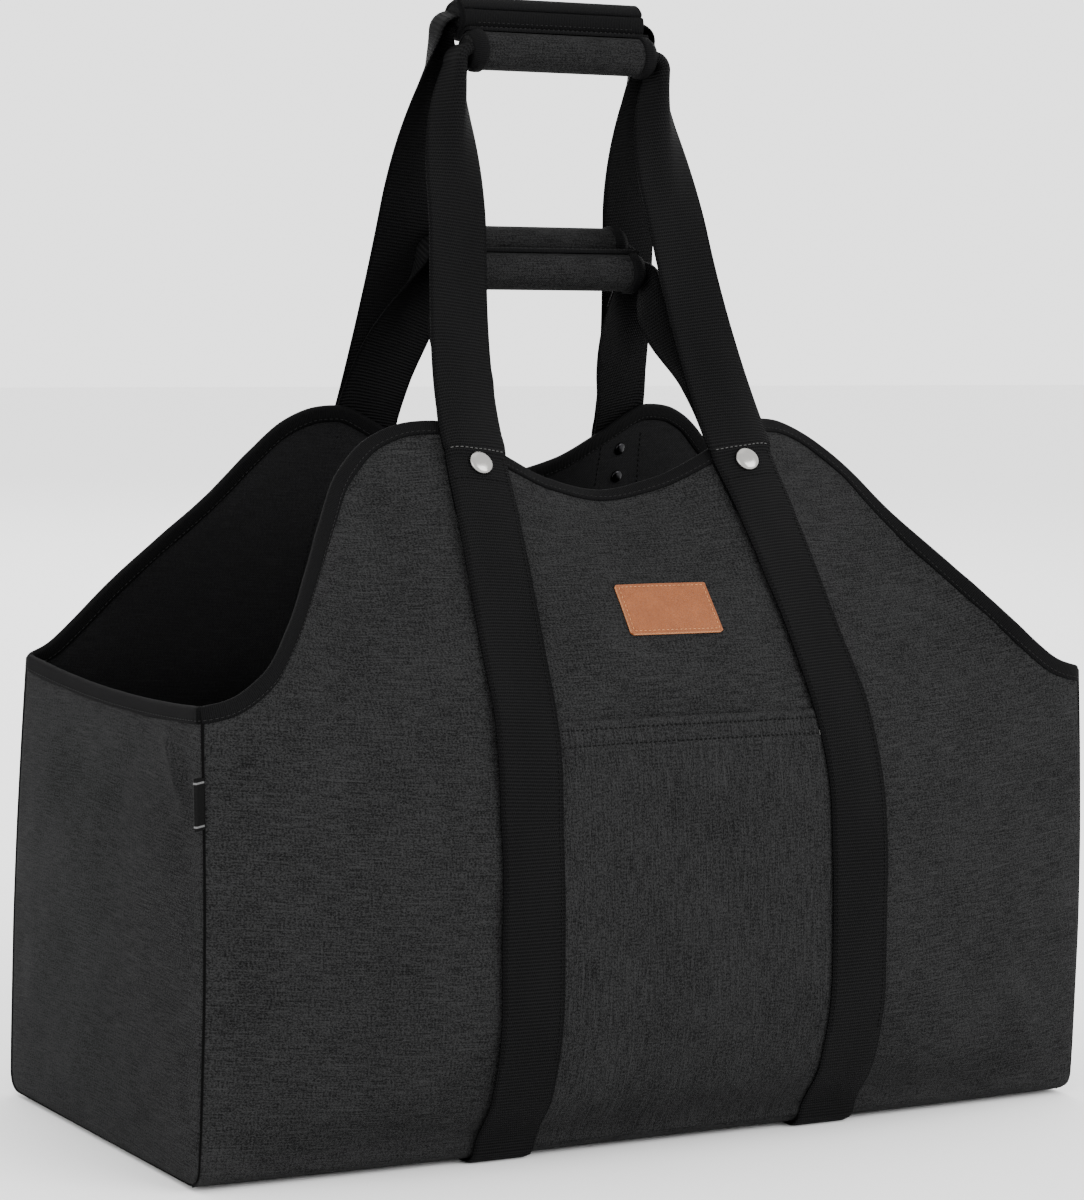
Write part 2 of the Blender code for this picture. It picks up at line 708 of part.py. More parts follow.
def cut_holes(holes):
    """Real holes for the posts, through the cloth and the webbing that each rivet joins."""
    for kind, spots in holes.items():
        for number, spot in enumerate(spots):
            cutter = hole_cutter(f"{kind}_hole_{number}", spot)
            face = "front" if spot[0][1] < 0 else "back"
            pieces = ["main_panel", f"short_strap_{face}"]
            if kind == "upper":
                pieces.append(f"long_strap_{face}")
            for piece in pieces:
                cut = bpy.data.objects[piece].modifiers.new(cutter.name, "BOOLEAN")
                cut.object = cutter
                cut.operation = "DIFFERENCE"
                cut.solver = "EXACT"


# Pocket, patch and tab

def laid_sheet(node, wall, spots, stand, thickness, finish):
    """A sheet on the wall: rows of places, each a distance along the bag and a level."""
    outer = []
    inner = []
    for row in spots:
        on_wall = [wall.at(x, level) for x, level in row]
        outer.append([point + (stand + thickness) * normal for point, normal in on_wall])
        inner.append([point + stand * normal for point, normal in on_wall])
    return sheet_solid(node, np.array(outer), np.array(inner), finish)


def columns_between(wall, low, high, level):
    """Distances along the bag from low to high, with the wall's own columns between them."""
    columns = wall.at_level(level)[0][:, 0]
    margin = (high - low) * 0.02
    return [low] + [x for x in columns if low + margin < x < high - margin] + [high]


def build_pocket(wall):
    """The pocket's sides are caught under the two front straps; its hem runs level."""
    edge = STRAP_BASE_X + WEBBING_WIDTH / 4
    first = FOLD_STEPS + 1
    last = first + len(WALL_LEVELS)
    xs = columns_between(wall, -edge, edge, first)
    spots = [[(x, level) for x in xs] for level in range(first, last + 1)]
    laid_sheet("front_pocket", wall, spots, GAP, POCKET_CLOTH, "canvas")


def build_patch(wall):
    """A small leather patch sewn on above the pocket, midway between the straps."""
    middle, height = PATCH_CENTRE
    low = middle - PATCH_LENGTH / 2
    high = middle + PATCH_LENGTH / 2
    level = wall.level_of_height(middle, height)
    xs = columns_between(wall, low, high, level)
    bottom = [wall.level_of_height(x, height - PATCH_HEIGHT / 2) for x in xs]
    top = [wall.level_of_height(x, height + PATCH_HEIGHT / 2) for x in xs]
    between = range(math.ceil(max(bottom) + 0.1), math.ceil(min(top) - 0.1))
    rows = [bottom] + [[level] * len(xs) for level in between] + [top]
    spots = [list(zip(xs, row)) for row in rows]
    laid_sheet("leather_patch", wall, spots, PATCH_GAP, PATCH_LEATHER, "leather")


def build_tab(walls):
    """A small folded tab from the left corner seam, lying against the end panel."""
    mirror = np.array([-1.0, 1.0, 1.0])
    away = np.array([-1.0, 0.0, 0.0])
    outer = []
    inner = []
    for height in (TAB_CENTRE_HEIGHT - TAB_HEIGHT / 2, TAB_CENTRE_HEIGHT + TAB_HEIGHT / 2):
        seam = end_point(-1.0, height, walls) * mirror
        free = seam + np.array([0.0, TAB_LENGTH, 0.0])
        free[0] = end_point(-1 + TAB_LENGTH / HALF_DEPTH, height, walls)[0] * -1 - SLOT_GAP
        inner.append([seam + away * GAP, free + away * GAP])
        outer.append([seam + away * (GAP + TAB_THICKNESS), free + away * (GAP + TAB_THICKNESS)])
    sheet_solid("side_tab", np.array(outer), np.array(inner), "tape")


def build_bag():
    clear_scene()
    walls = (Wall(True), Wall(False))
    build_main_panel(walls)
    build_end_panels(walls)
    build_binding(walls)
    for node in HANDLES:
        build_strap(node, walls)
        build_grip(node.replace("strap", "grip"), HANDLES[node].grip)
    cut_holes(build_rivets(walls))
    build_pocket(walls[0])
    build_patch(walls[0])
    build_tab(walls)


build_bag()
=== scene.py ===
# %% [markdown]
# # A firewood bag of waxed canvas
# The bag is sewn from flat cloth: one long panel makes front, base and back, two panels close
# the ends, tape binds the rim, and webbing straps carry the load. Each cell below builds one of
# those pieces as a surface worked out with numpy, on the frame of plain solids that is loaded
# here. The solids fix every size, so the cells only add form and finish.

# %% Load the frame
import math

import bpy
import numpy as np
from mathutils import Matrix, Vector


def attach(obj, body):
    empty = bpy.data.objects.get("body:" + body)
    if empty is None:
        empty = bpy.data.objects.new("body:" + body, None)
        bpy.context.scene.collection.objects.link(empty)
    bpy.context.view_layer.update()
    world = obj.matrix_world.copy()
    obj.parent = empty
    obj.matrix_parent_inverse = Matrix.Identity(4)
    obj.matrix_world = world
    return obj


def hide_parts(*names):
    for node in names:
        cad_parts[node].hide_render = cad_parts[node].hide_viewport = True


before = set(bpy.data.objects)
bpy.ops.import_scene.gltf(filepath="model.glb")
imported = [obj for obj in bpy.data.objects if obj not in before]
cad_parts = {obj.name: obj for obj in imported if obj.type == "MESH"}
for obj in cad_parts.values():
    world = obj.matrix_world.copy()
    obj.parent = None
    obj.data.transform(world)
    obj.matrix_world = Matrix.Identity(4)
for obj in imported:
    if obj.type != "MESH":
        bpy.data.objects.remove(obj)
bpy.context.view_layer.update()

# %% [markdown]
# ## Sizes
# A sewn bag is drawn from few measures: its length and depth, the height of its corners and
# humps, and the width of its webbing. They are the same as the solids', in metres, so that what
# is built here lies where the solids lie.

# %% Sizes of the cloth body
LENGTH = 0.580
DEPTH = 0.247
CORNER_HEIGHT = 0.255
HUMP_HEIGHT = 0.397
CANVAS = 0.0020
BULGE = 0.0354
END_BULGE = 0.004
END_RIM_SAG = 0.005
CORNER_TAPER = 0.0105
CORNER_BOW = 0.005
FOLD_RADIUS = 0.012
BASE_HEIGHT = 0.0019
POCKET_HEIGHT = 0.242
HALF_LENGTH = LENGTH / 2
HALF_DEPTH = DEPTH / 2
RISE = HUMP_HEIGHT - CORNER_HEIGHT

# %% Sizes of webbing, grips and trim
WEBBING_WIDTH = 0.038
WEBBING = 0.0016
STRAP_BASE_X = 0.107
STRAP_RIM_X = 0.088
GRIP_LENGTH = 0.122
GRIP_RADIUS = 0.0122
TURN_RADIUS = 0.0072
BINDING_DEPTH = 0.0085
TAPE = 0.0010
LAYER_GAP = 0.0004
CLOTH_GAP = 0.0003
POCKET_CLOTH = 0.0015
RUN_STEP = 0.0035
RIVET_DROP = 0.0195
RIVET_PITCH = 0.019
SHORT_STRAP_TAIL = 0.050

# %% [markdown]
# ## A curve that doesn't overshoot
# The panels' shapes are known at a few rows of points. A plain spline through them would swing
# out where a long flat stretch meets a tight fold. Choosing each slope as the harmonic mean of
# the slopes on both sides keeps the curve between its points, as stretched cloth stays.

# %% Smooth curve through rows of points
def along_axis(numbers, like):
    return numbers.reshape(-1, *[1] * (like.ndim - 1))


def smooth(knots, values, at):
    """Hermite cubic between neighbouring knots: both end values and both end slopes, weighted
    by the usual cubics of the share t of the way. A slope is the harmonic mean of the slopes of
    the two stretches that meet there, or zero where they differ in sign."""
    widths = np.diff(knots)
    rises = np.diff(values, axis=0) / along_axis(widths, values)
    before, after = rises[:-1], rises[1:]
    same = before * after > 0
    inner = np.where(same, 2 * before * after / np.where(same, before + after, 1.0), 0.0)
    slopes = np.concatenate([rises[:1], inner, rises[-1:]])
    cell = np.clip(np.searchsorted(knots, at, side="right") - 1, 0, len(widths) - 1)
    width = along_axis(widths[cell], values)
    t = along_axis((at - knots[cell]) / widths[cell], values)
    return ((2 * t ** 3 - 3 * t ** 2 + 1) * values[cell]
            + (t ** 3 - 2 * t ** 2 + t) * width * slopes[cell]
            + (3 * t ** 2 - 2 * t ** 3) * values[cell + 1]
            + (t ** 3 - t ** 2) * width * slopes[cell + 1])


def run_length(path):
    """Distance of each point of a path from its start, along the path."""
    steps = np.linalg.norm(np.diff(path, axis=0), axis=1)
    return np.concatenate([[0.0], np.cumsum(steps)])


def unit(vectors):
    return vectors / np.linalg.norm(vectors, axis=-1, keepdims=True)


def ease(t):
    t = np.clip(t, 0.0, 1.0)
    return t * t * (3 - 2 * t)


# %% [markdown]
# ## The wall's table
# Each row is a place along the bag, from its middle to its corner. It says where that place lies
# at the base and at the rim, as shares of the half length and half depth, how high the rim is
# there, and how long the cloth stays out before it leans in. The double hump of the rim is in
# the rise column.

# %% Rows and levels of the walls
RIM = np.array([
    # base_x front_x front_y back_x back_y rise fullness
    (0.000, 0.000, 0.267, 0.000, 0.656, 0.720, 1.60),
    (0.172, 0.124, 0.283, 0.124, 0.664, 0.770, 1.45),
    (0.293, 0.228, 0.300, 0.228, 0.680, 0.865, 1.20),
    (0.369, 0.303, 0.285, 0.303, 0.700, 0.950, 1.08),
    (0.422, 0.359, 0.243, 0.359, 0.713, 1.000, 1.05),
    (0.479, 0.414, 0.200, 0.407, 0.729, 0.995, 1.05),
    (0.560, 0.490, 0.185, 0.470, 0.758, 0.945, 1.05),
    (0.650, 0.580, 0.265, 0.545, 0.790, 0.810, 1.05),
    (0.728, 0.648, 0.420, 0.631, 0.818, 0.630, 1.05),
    (0.795, 0.716, 0.610, 0.727, 0.850, 0.462, 1.05),
    (0.860, 0.795, 0.815, 0.830, 0.881, 0.275, 1.00),
    (0.918, 0.868, 0.930, 0.905, 0.902, 0.120, 1.00),
    (0.965, 0.942, 0.940, 0.960, 0.913, 0.025, 1.00),
    (1.000, 1.000, 0.915, 1.000, 0.915, 0.000, 1.00),
])
WALL_HEIGHTS = np.array([0.174, 0.380, 0.590, 0.826, 1.000])
WALL_BULGES = np.array([0.68, 1.00, 1.00, 0.81, 0.46])
FOLD_BULGE = 0.15
UPPER = np.array([0.25, 0.50, 0.75, 1.00])
LEAN_START = 0.75
FOLD_STEPS = 3
HEM_LEVEL = FOLD_STEPS + 1 + len(WALL_HEIGHTS)
TOP_LEVEL = HEM_LEVEL + len(UPPER)


def bow(height):
    """Half a sine wave from the base to the corner's top."""
    return np.sin(np.pi * np.clip(height / CORNER_HEIGHT, 0, 1))


def depth_at(height, dome, bulge):
    """Half depth at a height: a straight taper and the corner's own bow, and away from the
    corner the wall's bulge in place of the bow."""
    corner = HALF_DEPTH - CORNER_TAPER * height / CORNER_HEIGHT + CORNER_BOW * bow(height)
    return corner + dome * (bulge * BULGE - CORNER_BOW * bow(height))


def wall_rows(front):
    """Known points of one wall, a row for each place of the table and a column for each level:
    the base's middle, a quarter circle of the bottom fold, the bulging wall, and the lean."""
    base_x, front_x, front_y, back_x, back_y, rise, fullness = RIM.T[:, :, None]
    rim_x = HALF_LENGTH * (front_x if front else back_x)
    rim_y = HALF_DEPTH * (front_y if front else back_y)
    rim_z = CORNER_HEIGHT + RISE * rise
    dome = 1 - base_x ** 3
    fold_top = BASE_HEIGHT + FOLD_RADIUS
    fold_y = depth_at(fold_top, dome, FOLD_BULGE)
    turn = np.linspace(0, np.pi / 2, FOLD_STEPS + 1)
    wall_z = POCKET_HEIGHT * WALL_HEIGHTS + 0 * base_x
    wall_y = depth_at(wall_z, dome, WALL_BULGES)
    z = np.concatenate([BASE_HEIGHT + 0 * base_x,
                        fold_top - FOLD_RADIUS * np.cos(turn) + 0 * base_x,
                        wall_z, POCKET_HEIGHT + (rim_z - POCKET_HEIGHT) * UPPER], axis=1)
    hem_y = wall_y[:, -1:]
    y = np.concatenate([0 * base_x, fold_y - FOLD_RADIUS * (1 - np.sin(turn)), wall_y,
                        hem_y + (rim_y - hem_y) * UPPER ** fullness], axis=1)
    lean = np.maximum(0, z - LEAN_START * CORNER_HEIGHT) / (rim_z - LEAN_START * CORNER_HEIGHT)
    x = HALF_LENGTH * base_x + (rim_x - HALF_LENGTH * base_x) * lean ** 1.2
    return np.stack([x, -y if front else y, z], axis=-1)


# %% [markdown]
# ## Soft cloth
# Waxed canvas keeps slow dents where it was folded and handled. A sum of a few long waves, each
# with its own direction and phase, gives such dents, and short ridges along chosen lines give
# the creases by the corners. Both fade to nothing at seams and rim, where stitching holds the
# cloth flat. The seed is fixed, so each run gives the same bag.

# %% Dents and creases
WAVES = np.random.default_rng(11)


def slow_waves(count, longest, shortest):
    """Waves on a plane: each has a length between two limits, a direction and a phase."""
    lengths = np.exp(WAVES.uniform(np.log(shortest), np.log(longest), count))
    turns = WAVES.uniform(0, np.pi, count)
    return [(2 * np.pi / size * np.cos(turn), 2 * np.pi / size * np.sin(turn),
             WAVES.uniform(0, 2 * np.pi), size / longest) for size, turn in zip(lengths, turns)]


def dents(waves, across, up):
    """Sum of sines of the two distances, longer waves counting more, scaled to about 1."""
    total = sum(size * np.sin(kx * across + ky * up + phase) for kx, ky, phase, size in waves)
    return total / math.sqrt(sum(size ** 2 for *_, size in waves))


def crease(across, up, start, end, width):
    """A ridge along a line: a bell curve of the distance from the line, fading at both ends."""
    run = np.array(end) - np.array(start)
    length = math.hypot(*run)
    along = ((across - start[0]) * run[0] + (up - start[1]) * run[1]) / length ** 2
    aside = ((across - start[0]) * run[1] - (up - start[1]) * run[0]) / length
    return np.exp(-(aside / width) ** 2) * ease(along * 3) * ease((1 - along) * 3)


FRONT_WAVES = slow_waves(9, 0.26, 0.07)
BACK_WAVES = slow_waves(9, 0.26, 0.07)
END_WAVES = slow_waves(7, 0.20, 0.06)
FRONT_CREASES = [
    # start, end, width, height
    ((0.262, 0.020), (0.205, 0.115), 0.006, 0.0016),
    ((0.276, 0.060), (0.225, 0.090), 0.005, -0.0013),
    ((0.278, 0.150), (0.215, 0.190), 0.006, 0.0011),
    ((-0.278, 0.235), (-0.200, 0.225), 0.007, 0.0011),
    ((-0.276, 0.030), (-0.215, 0.075), 0.006, -0.0010),
    ((-0.050, 0.262), (0.060, 0.250), 0.007, 0.0010),
    ((0.030, 0.345), (0.085, 0.300), 0.007, -0.0011),
    ((-0.030, 0.345), (-0.085, 0.290), 0.008, -0.0010),
]


# %% [markdown]
# ## The walls as fine grids
# The known points become a fine grid in two passes: first along the bag, then from the base up
# to the rim. Extra columns beside the corners leave room for the seam, where both cloths turn in
# and leave a thin groove. Straps, pocket, patch and stitches all ask these grids where the cloth
# lies, which is how a sewn piece follows what it is sewn to.

# %% Fine walls
SEAM_DEPTH = 0.0013
SEAM_WIDTH = 0.0026
SEAM_SHADE_WIDTH = 0.0016
DENT_DEPTH = 0.0011
END_DENT_DEPTH = 0.0010
NEAR_SEAM = np.array([0.9975, 0.9955, 0.993, 0.9895, 0.985, 0.979])


def both_halves(right):
    """A half set of shares from 0 to 1 with its mirror image, from -1 to 1."""
    return np.concatenate([-right[:0:-1], right])


def grid_normals(points, outward):
    """Cross product of the two directions of the grid, turned to point outwards."""
    normals = unit(np.cross(np.gradient(points, axis=0), np.gradient(points, axis=1)))
    return np.where(np.sum(normals * outward, axis=-1, keepdims=True) < 0, -normals, normals)


class Wall:
    """One wall as a fine grid: columns along X, levels from the base's middle to the rim."""

    def __init__(self, front):
        self.side = -1.0 if front else 1.0
        known = wall_rows(front)
        known = np.concatenate([known[:0:-1] * np.array([-1.0, 1.0, 1.0]), known])
        right = np.sort(np.concatenate([np.linspace(0, 0.97, 86), NEAR_SEAM, [1.0]]))
        shares = both_halves(right)
        columns = smooth(both_halves(RIM[:, 0]), known, shares)
        self.levels = np.concatenate([
            np.linspace(0, 1, 9)[:-1], np.linspace(1, FOLD_STEPS + 1, 11)[:-1],
            np.linspace(FOLD_STEPS + 1, HEM_LEVEL, 42)[:-1],
            np.linspace(HEM_LEVEL, TOP_LEVEL, 34)])
        middle = np.mean(np.linalg.norm(np.diff(known, axis=1), axis=-1), axis=0)
        so_far = np.concatenate([[0.0], np.cumsum(middle)])
        at = np.interp(self.levels, np.arange(len(so_far)), so_far)
        points = smooth(so_far, columns.transpose(1, 0, 2), at).transpose(1, 0, 2)
        outward = np.zeros_like(points)
        outward[..., 1] = self.side
        low = self.levels < FOLD_STEPS
        outward[:, low, 2] = -2.0
        normals = grid_normals(points, outward)
        steps = np.linalg.norm(np.diff(points, axis=1), axis=-1)
        start = np.zeros((len(points), 1))
        self.height = np.concatenate([start, np.cumsum(steps, axis=1)], axis=1)
        below_rim = self.height[:, -1:] - self.height
        from_seam = (1 - np.abs(shares))[:, None] * HALF_LENGTH
        on_wall = ease((points[..., 2] - 0.010) / 0.05)
        hold = ease(from_seam / 0.045) * ease(below_rim / 0.035) * on_wall
        waves = FRONT_WAVES if front else BACK_WAVES
        push = DENT_DEPTH * dents(waves, points[..., 0], points[..., 2])
        if front:
            for start, end, width, height in FRONT_CREASES:
                push += height * crease(points[..., 0], points[..., 2], start, end, width)
        points = points + (push * hold)[..., None] * normals
        end_normal = np.array([1.0, 0.0, 0.0]) * np.sign(shares)[:, None, None]
        self.mitre = normals[[0, -1]] + end_normal[[0, -1]]
        edge = np.where(shares[:, None, None] < 0, self.mitre[:1], self.mitre[1:])
        depth = SEAM_DEPTH * np.exp(-(from_seam / SEAM_WIDTH) ** 2)
        points = points - depth[..., None] * unit(edge)
        self.points = points
        self.normals = grid_normals(points, outward)
        self.normals[:, 0] = (0.0, 0.0, -1.0)
        self.thick = self.normals.copy()
        self.thick[[0, -1]] = self.mitre
        self.wear_and_seam_shade = (np.exp(-below_rim / 0.016) + 0.8 * np.exp(-from_seam / 0.010)
                     + 0.9 * np.exp(-((points[..., 2] - 0.010) / 0.012) ** 2)).clip(0, 1)
        # The seam line itself is pushed far below zero, where the canvas is painted near-black:
        # painted shade in the seam's groove.
        self.wear_and_seam_shade -= 4.0 * np.exp(-(from_seam / SEAM_SHADE_WIDTH) ** 2)

    def at(self, x, level):
        """Point and outward normal at distances along the bag and levels: between the two
        nearest columns and the two nearest rows of the grid, in straight proportion, and on
        in the same direction above the rim."""
        x, level = np.broadcast_arrays(np.asarray(x, float), np.asarray(level, float))
        row = np.interp(level, self.levels, np.arange(len(self.levels)))
        row = row + np.maximum(0, level - TOP_LEVEL) / (self.levels[-1] - self.levels[-2])
        low = np.minimum(row.astype(int), len(self.levels) - 2)
        part = (row - low)[..., None]
        xs = (self.points[:, low, 0] * (1 - part[..., 0])
              + self.points[:, low + 1, 0] * part[..., 0])
        column = np.clip(np.sum(xs <= x, axis=0) - 1, 0, len(xs) - 2)
        left = np.take_along_axis(xs, column[None], 0)[0]
        right = np.take_along_axis(xs, column[None] + 1, 0)[0]
        share = np.clip((x - left) / (right - left), 0, 1)[..., None]

        def read(grid):
            below = grid[column, low] * (1 - share) + grid[column + 1, low] * share
            above = grid[column, low + 1] * (1 - share) + grid[column + 1, low + 1] * share
            return below * (1 - part) + above * part

        return read(self.points), unit(read(self.normals))

    def level_of_height(self, x, height):
        levels = np.linspace(FOLD_STEPS + 1, TOP_LEVEL, 240)
        return np.interp(height, self.at(x, levels)[0][:, 2], levels)

    def level_below_rim(self, x, drop):
        """The level at a distance below the rim, measured down the cloth at x."""
        levels = np.linspace(FOLD_STEPS + 1, TOP_LEVEL, 240)
        path = self.at(x, levels)[0]
        return np.interp(drop, run_length(path[::-1]), levels[::-1])


front_wall = Wall(True)
back_wall = Wall(False)
print("wall grid", front_wall.points.shape[:2], "points")

# %% [markdown]
# ## From grids to meshes
# A cloth piece is a thin closed shell: an outer grid, an inner grid one cloth's thickness
# behind it, and a strip of faces that joins their edges. The UV map holds the two distances on
# the cloth in metres, so a weave keeps its scale on every piece.

# %% Mesh helpers
def cell_faces(number):
    """Corner numbers of all cells of a grid of point numbers, as one array of quads."""
    cells = [number[:-1, :-1], number[:-1, 1:], number[1:, 1:], number[1:, :-1]]
    return np.stack([cell.ravel() for cell in cells], axis=1)


def outward_faces(points, quads):
    """Turns all faces round where the closed surface's volume comes out negative: a sixth of
    the sum of each triangle's triple product."""
    a, b, c, d = (points[quads[:, k]] for k in range(4))
    volume = np.sum(a * np.cross(b, c)) + np.sum(a * np.cross(c, d))
    return quads if volume > 0 else quads[:, ::-1]


def add_mesh(name, points, faces, uv=None, wear_and_seam_shade=None):
    """Puts arrays of points and faces into a new object at the origin, smooth shaded."""
    mesh = bpy.data.meshes.new(name)
    mesh.from_pydata(points.tolist(), [], faces if isinstance(faces, list) else faces.tolist())
    mesh.update()
    if uv is not None:
        corner = np.empty(len(mesh.loops), dtype=np.int32)
        mesh.loops.foreach_get("vertex_index", corner)
        mesh.uv_layers.new(name="cloth").data.foreach_set(
            "uv", uv[corner].astype(np.float32).ravel())
    if wear_and_seam_shade is not None:
        mesh.attributes.new("wear_and_seam_shade", "FLOAT", "POINT").data.foreach_set(
            "value", wear_and_seam_shade.astype(np.float32).ravel())
    mesh.shade_smooth()
    made = bpy.data.objects.new(name, mesh)
    bpy.context.scene.collection.objects.link(made)
    return made


def shell(name, outer, inner, uv, wear_and_seam_shade=None):
    """A closed sheet between two grids of the same shape, with a strip round its edges. The
    inner face is marked as the mesh's second material."""
    rows, columns = outer.shape[:2]
    count = rows * columns
    number = np.arange(count).reshape(rows, columns)
    front = cell_faces(number)
    back = cell_faces(count + number)[:, ::-1]
    ring = np.concatenate([number[0], number[1:, -1], number[-1, -2::-1], number[-2:0:-1, 0]])
    following = np.roll(ring, -1)
    rim = np.stack([following, ring, count + ring, count + following], axis=1)
    points = np.concatenate([outer.reshape(-1, 3), inner.reshape(-1, 3)])
    quads = outward_faces(points, np.concatenate([front, rim, back]))
    flat = uv.reshape(-1, 2)
    all_wear_and_seam_shade = None if wear_and_seam_shade is None else np.concatenate([wear_and_seam_shade.ravel(), 0 * wear_and_seam_shade.ravel()])
    made = add_mesh(name, points, quads, np.concatenate([flat, flat]), all_wear_and_seam_shade)
    second = np.zeros(len(quads), dtype=np.int32)
    second[len(front) + len(rim):] = 1
    made.data.polygons.foreach_set("material_index", second)
    made.data.set_sharp_from_angle(angle=math.radians(50))
    return made


def dress(piece, materials, node=None):
    """Gives a piece its materials and its body, and hides the solid that it stands for."""
    for material in materials:
        piece.data.materials.append(material)
    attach(piece, "root")
    if node:
        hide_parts(node)


def distances(points):
    """The two distances of every grid point along its own row and column, in metres."""
    across = np.linalg.norm(np.diff(points, axis=0), axis=-1)
    up = np.linalg.norm(np.diff(points, axis=1), axis=-1)
    across = np.concatenate([np.zeros((1, points.shape[1])), np.cumsum(across, axis=0)])
    up = np.concatenate([np.zeros((points.shape[0], 1)), np.cumsum(up, axis=1)], axis=1)
    return np.stack([across - across[len(across) // 2], up], axis=-1)


# %% [markdown]
# ## Shader maths in plain expressions
# A woven finish is built from repeating patterns. Writing each Math node by hand hides the idea,
# so a small class wraps a socket and turns plus, minus and times into nodes.

# %% The wire class
class Wire:
    """An output socket of a material's nodes that can stand in a Python expression."""

    def __init__(self, tree, socket=None):
        self.tree = tree
        self.socket = socket

    def node(self, kind, settings=None, inputs=None, output=0):
        """Adds one node: its type, then its settings, then the values or wires of its inputs."""
        made = self.tree.nodes.new("ShaderNode" + kind)
        for name, value in (settings or {}).items():
            setattr(made, name, value)
        for name, value in (inputs or {}).items():
            if isinstance(value, Wire):
                self.tree.links.new(value.socket, made.inputs[name])
            else:
                made.inputs[name].default_value = value
        return Wire(self.tree, made.outputs[output])

    def maths(self, operation, *parts):
        return self.node("Math", {"operation": operation}, dict(enumerate(parts)))

    def __add__(self, other):
        return self.maths("ADD", self, other)

    def __sub__(self, other):
        return self.maths("SUBTRACT", self, other)

    def __rsub__(self, other):
        return self.maths("SUBTRACT", other, self)

    def __mul__(self, other):
        return self.maths("MULTIPLY", self, other)

    def __abs__(self):
        return self.maths("ABSOLUTE", self)

    __radd__ = __add__
    __rmul__ = __mul__

    def sine(self):
        return self.maths("SINE", self)

    def limited(self):
        return self.node("Clamp", None, {"Value": self})

    def step(self, low, high):
        """0 below low, 1 above high, and a smooth rise between them."""
        return self.node("MapRange", {"interpolation_type": "SMOOTHSTEP"},
                         {"Value": self, "From Min": low, "From Max": high})


def join(x, y, z=0.0):
    return x.node("CombineXYZ", None, {"X": x, "Y": y, "Z": z})


def blend_colour(share, low, high):
    return share.node("Mix", {"data_type": "RGBA"}, {0: share, 6: low, 7: high}, output=2)


def noise(wire, place, scale, detail=2.0, roughness=0.5):
    return wire.node("TexNoise", None, {"Vector": place, "Scale": scale, "Detail": detail,
                                        "Roughness": roughness})


def finish_of(name, colour, roughness, build, metallic=0.0, **constants):
    """A material on the Principled shader. build adds wires for colour, roughness and height,
    and constants are set on the shader's own sockets."""
    made = bpy.data.materials.new(name)
    made.use_nodes = True
    tree = made.node_tree
    shader = tree.nodes["Principled BSDF"]
    shader.inputs["Base Color"].default_value = (*colour, 1.0)
    shader.inputs["Roughness"].default_value = roughness
    shader.inputs["Metallic"].default_value = metallic
    for socket, value in constants.items():
        shader.inputs[socket.replace("_", " ")].default_value = value
    wires = build(Wire(tree))
    if "height" in wires:
        wires["Normal"] = Wire(tree).node("Bump", None, {
            "Height": wires.pop("height"), "Strength": 1.0, "Distance": wires.pop("relief")})
    for socket, wire in wires.items():
        tree.links.new(wire.socket, shader.inputs[socket])
    return made


def cloth_place(wire):
    """The two distances on the cloth, in metres, from the piece's own UV map."""
    place = wire.node("UVMap", {"uv_map": "cloth"})
    parts = place.node("SeparateXYZ", None, {"Vector": place})
    return parts, Wire(wire.tree, parts.socket.node.outputs[1])


# %% [markdown]
# ## Waxed canvas
# The cloth is charcoal with paler threads, a little like linen: long thin streaks run both ways,
# with grain between them, and the wax rubs lighter at edges and folds. Long streaks are noise
# that is stretched along one thread direction. The weave itself is a product of two sine waves
# in the bump, so it catches the light without repeating in the colour. Along the seam lines the
# colour is painted near-black: painted shade in the seams' grooves.

# %% Canvas
WEAVE = 0.0013
DARK_THREAD = (0.0030, 0.0030, 0.0031)
PALE_THREAD = (0.0178, 0.0179, 0.0181)


def heather(wire, turned):
    """Streaks along both threads and fine grain, about 0 to 1, and the relief of the weave."""
    u, v = cloth_place(wire)
    if turned:
        u, v = v, u
    weft = noise(wire, join(u * 70, v * 1100), 1.0)
    warp = noise(wire, join(u * 1000, v * 160, 3.0), 1.0)
    grain = noise(wire, join(u * 900, v * 1150, 7.0), 1.0, 2.0, 0.6)
    slub = noise(wire, join(u * 26, v * 640, 11.0), 1.0).step(0.60, 0.74)
    pale = 0.26 * weft + 0.20 * warp + 0.62 * grain + 0.07 * slub
    pitch = 2 * math.pi / WEAVE
    weave = (u * pitch).sine() * (v * pitch).sine()
    relief = 0.30 * weave + 0.9 * grain + 0.7 * weft + 0.4 * warp
    return u, v, pale, relief


def canvas_build(turned=False, depth=1.0):
    def build(wire):
        u, v, pale, relief = heather(wire, turned)
        wear_and_seam_shade = wire.node("Attribute", {"attribute_name": "wear_and_seam_shade"}, output=2)
        mottle = noise(wire, join(u, v, 20.0), 24.0, 5.0, 0.65)
        rubbed = wear_and_seam_shade.limited() * grain_of(wire, u, v)
        tone = pale.step(0.41, 0.67) + 0.50 * (mottle - 0.5) + 0.28 * rubbed
        # A depth below 1 darkens both thread colours: painted shade, used for the grips.
        low, high = ([part * depth for part in thread] for thread in (DARK_THREAD, PALE_THREAD))
        colour = blend_colour(tone.limited(), (*low, 1.0), (*high, 1.0))
        # Far below zero, along the seam lines, the colour goes near-black: painted shade in the
        # seams' grooves.
        seam = (-0.5 - wear_and_seam_shade).limited()
        colour = blend_colour(seam, colour, (0.0012, 0.0012, 0.0012, 1.0))
        return {"Base Color": colour, "Roughness": 0.86 - 0.10 * mottle, "height": relief,
                "relief": 0.00030}
    return build


def grain_of(wire, u, v):
    return noise(wire, join(u, v, 31.0), 420.0, 3.0).step(0.35, 0.70)


def canvas_inside(wire):
    _, _, pale, relief = heather(wire, False)
    colour = blend_colour(pale.step(0.36, 0.80), (0.0054, 0.0054, 0.0056, 1.0),
                          (0.0142, 0.0142, 0.0147, 1.0))
    return {"Base Color": colour, "height": relief, "relief": 0.00015}


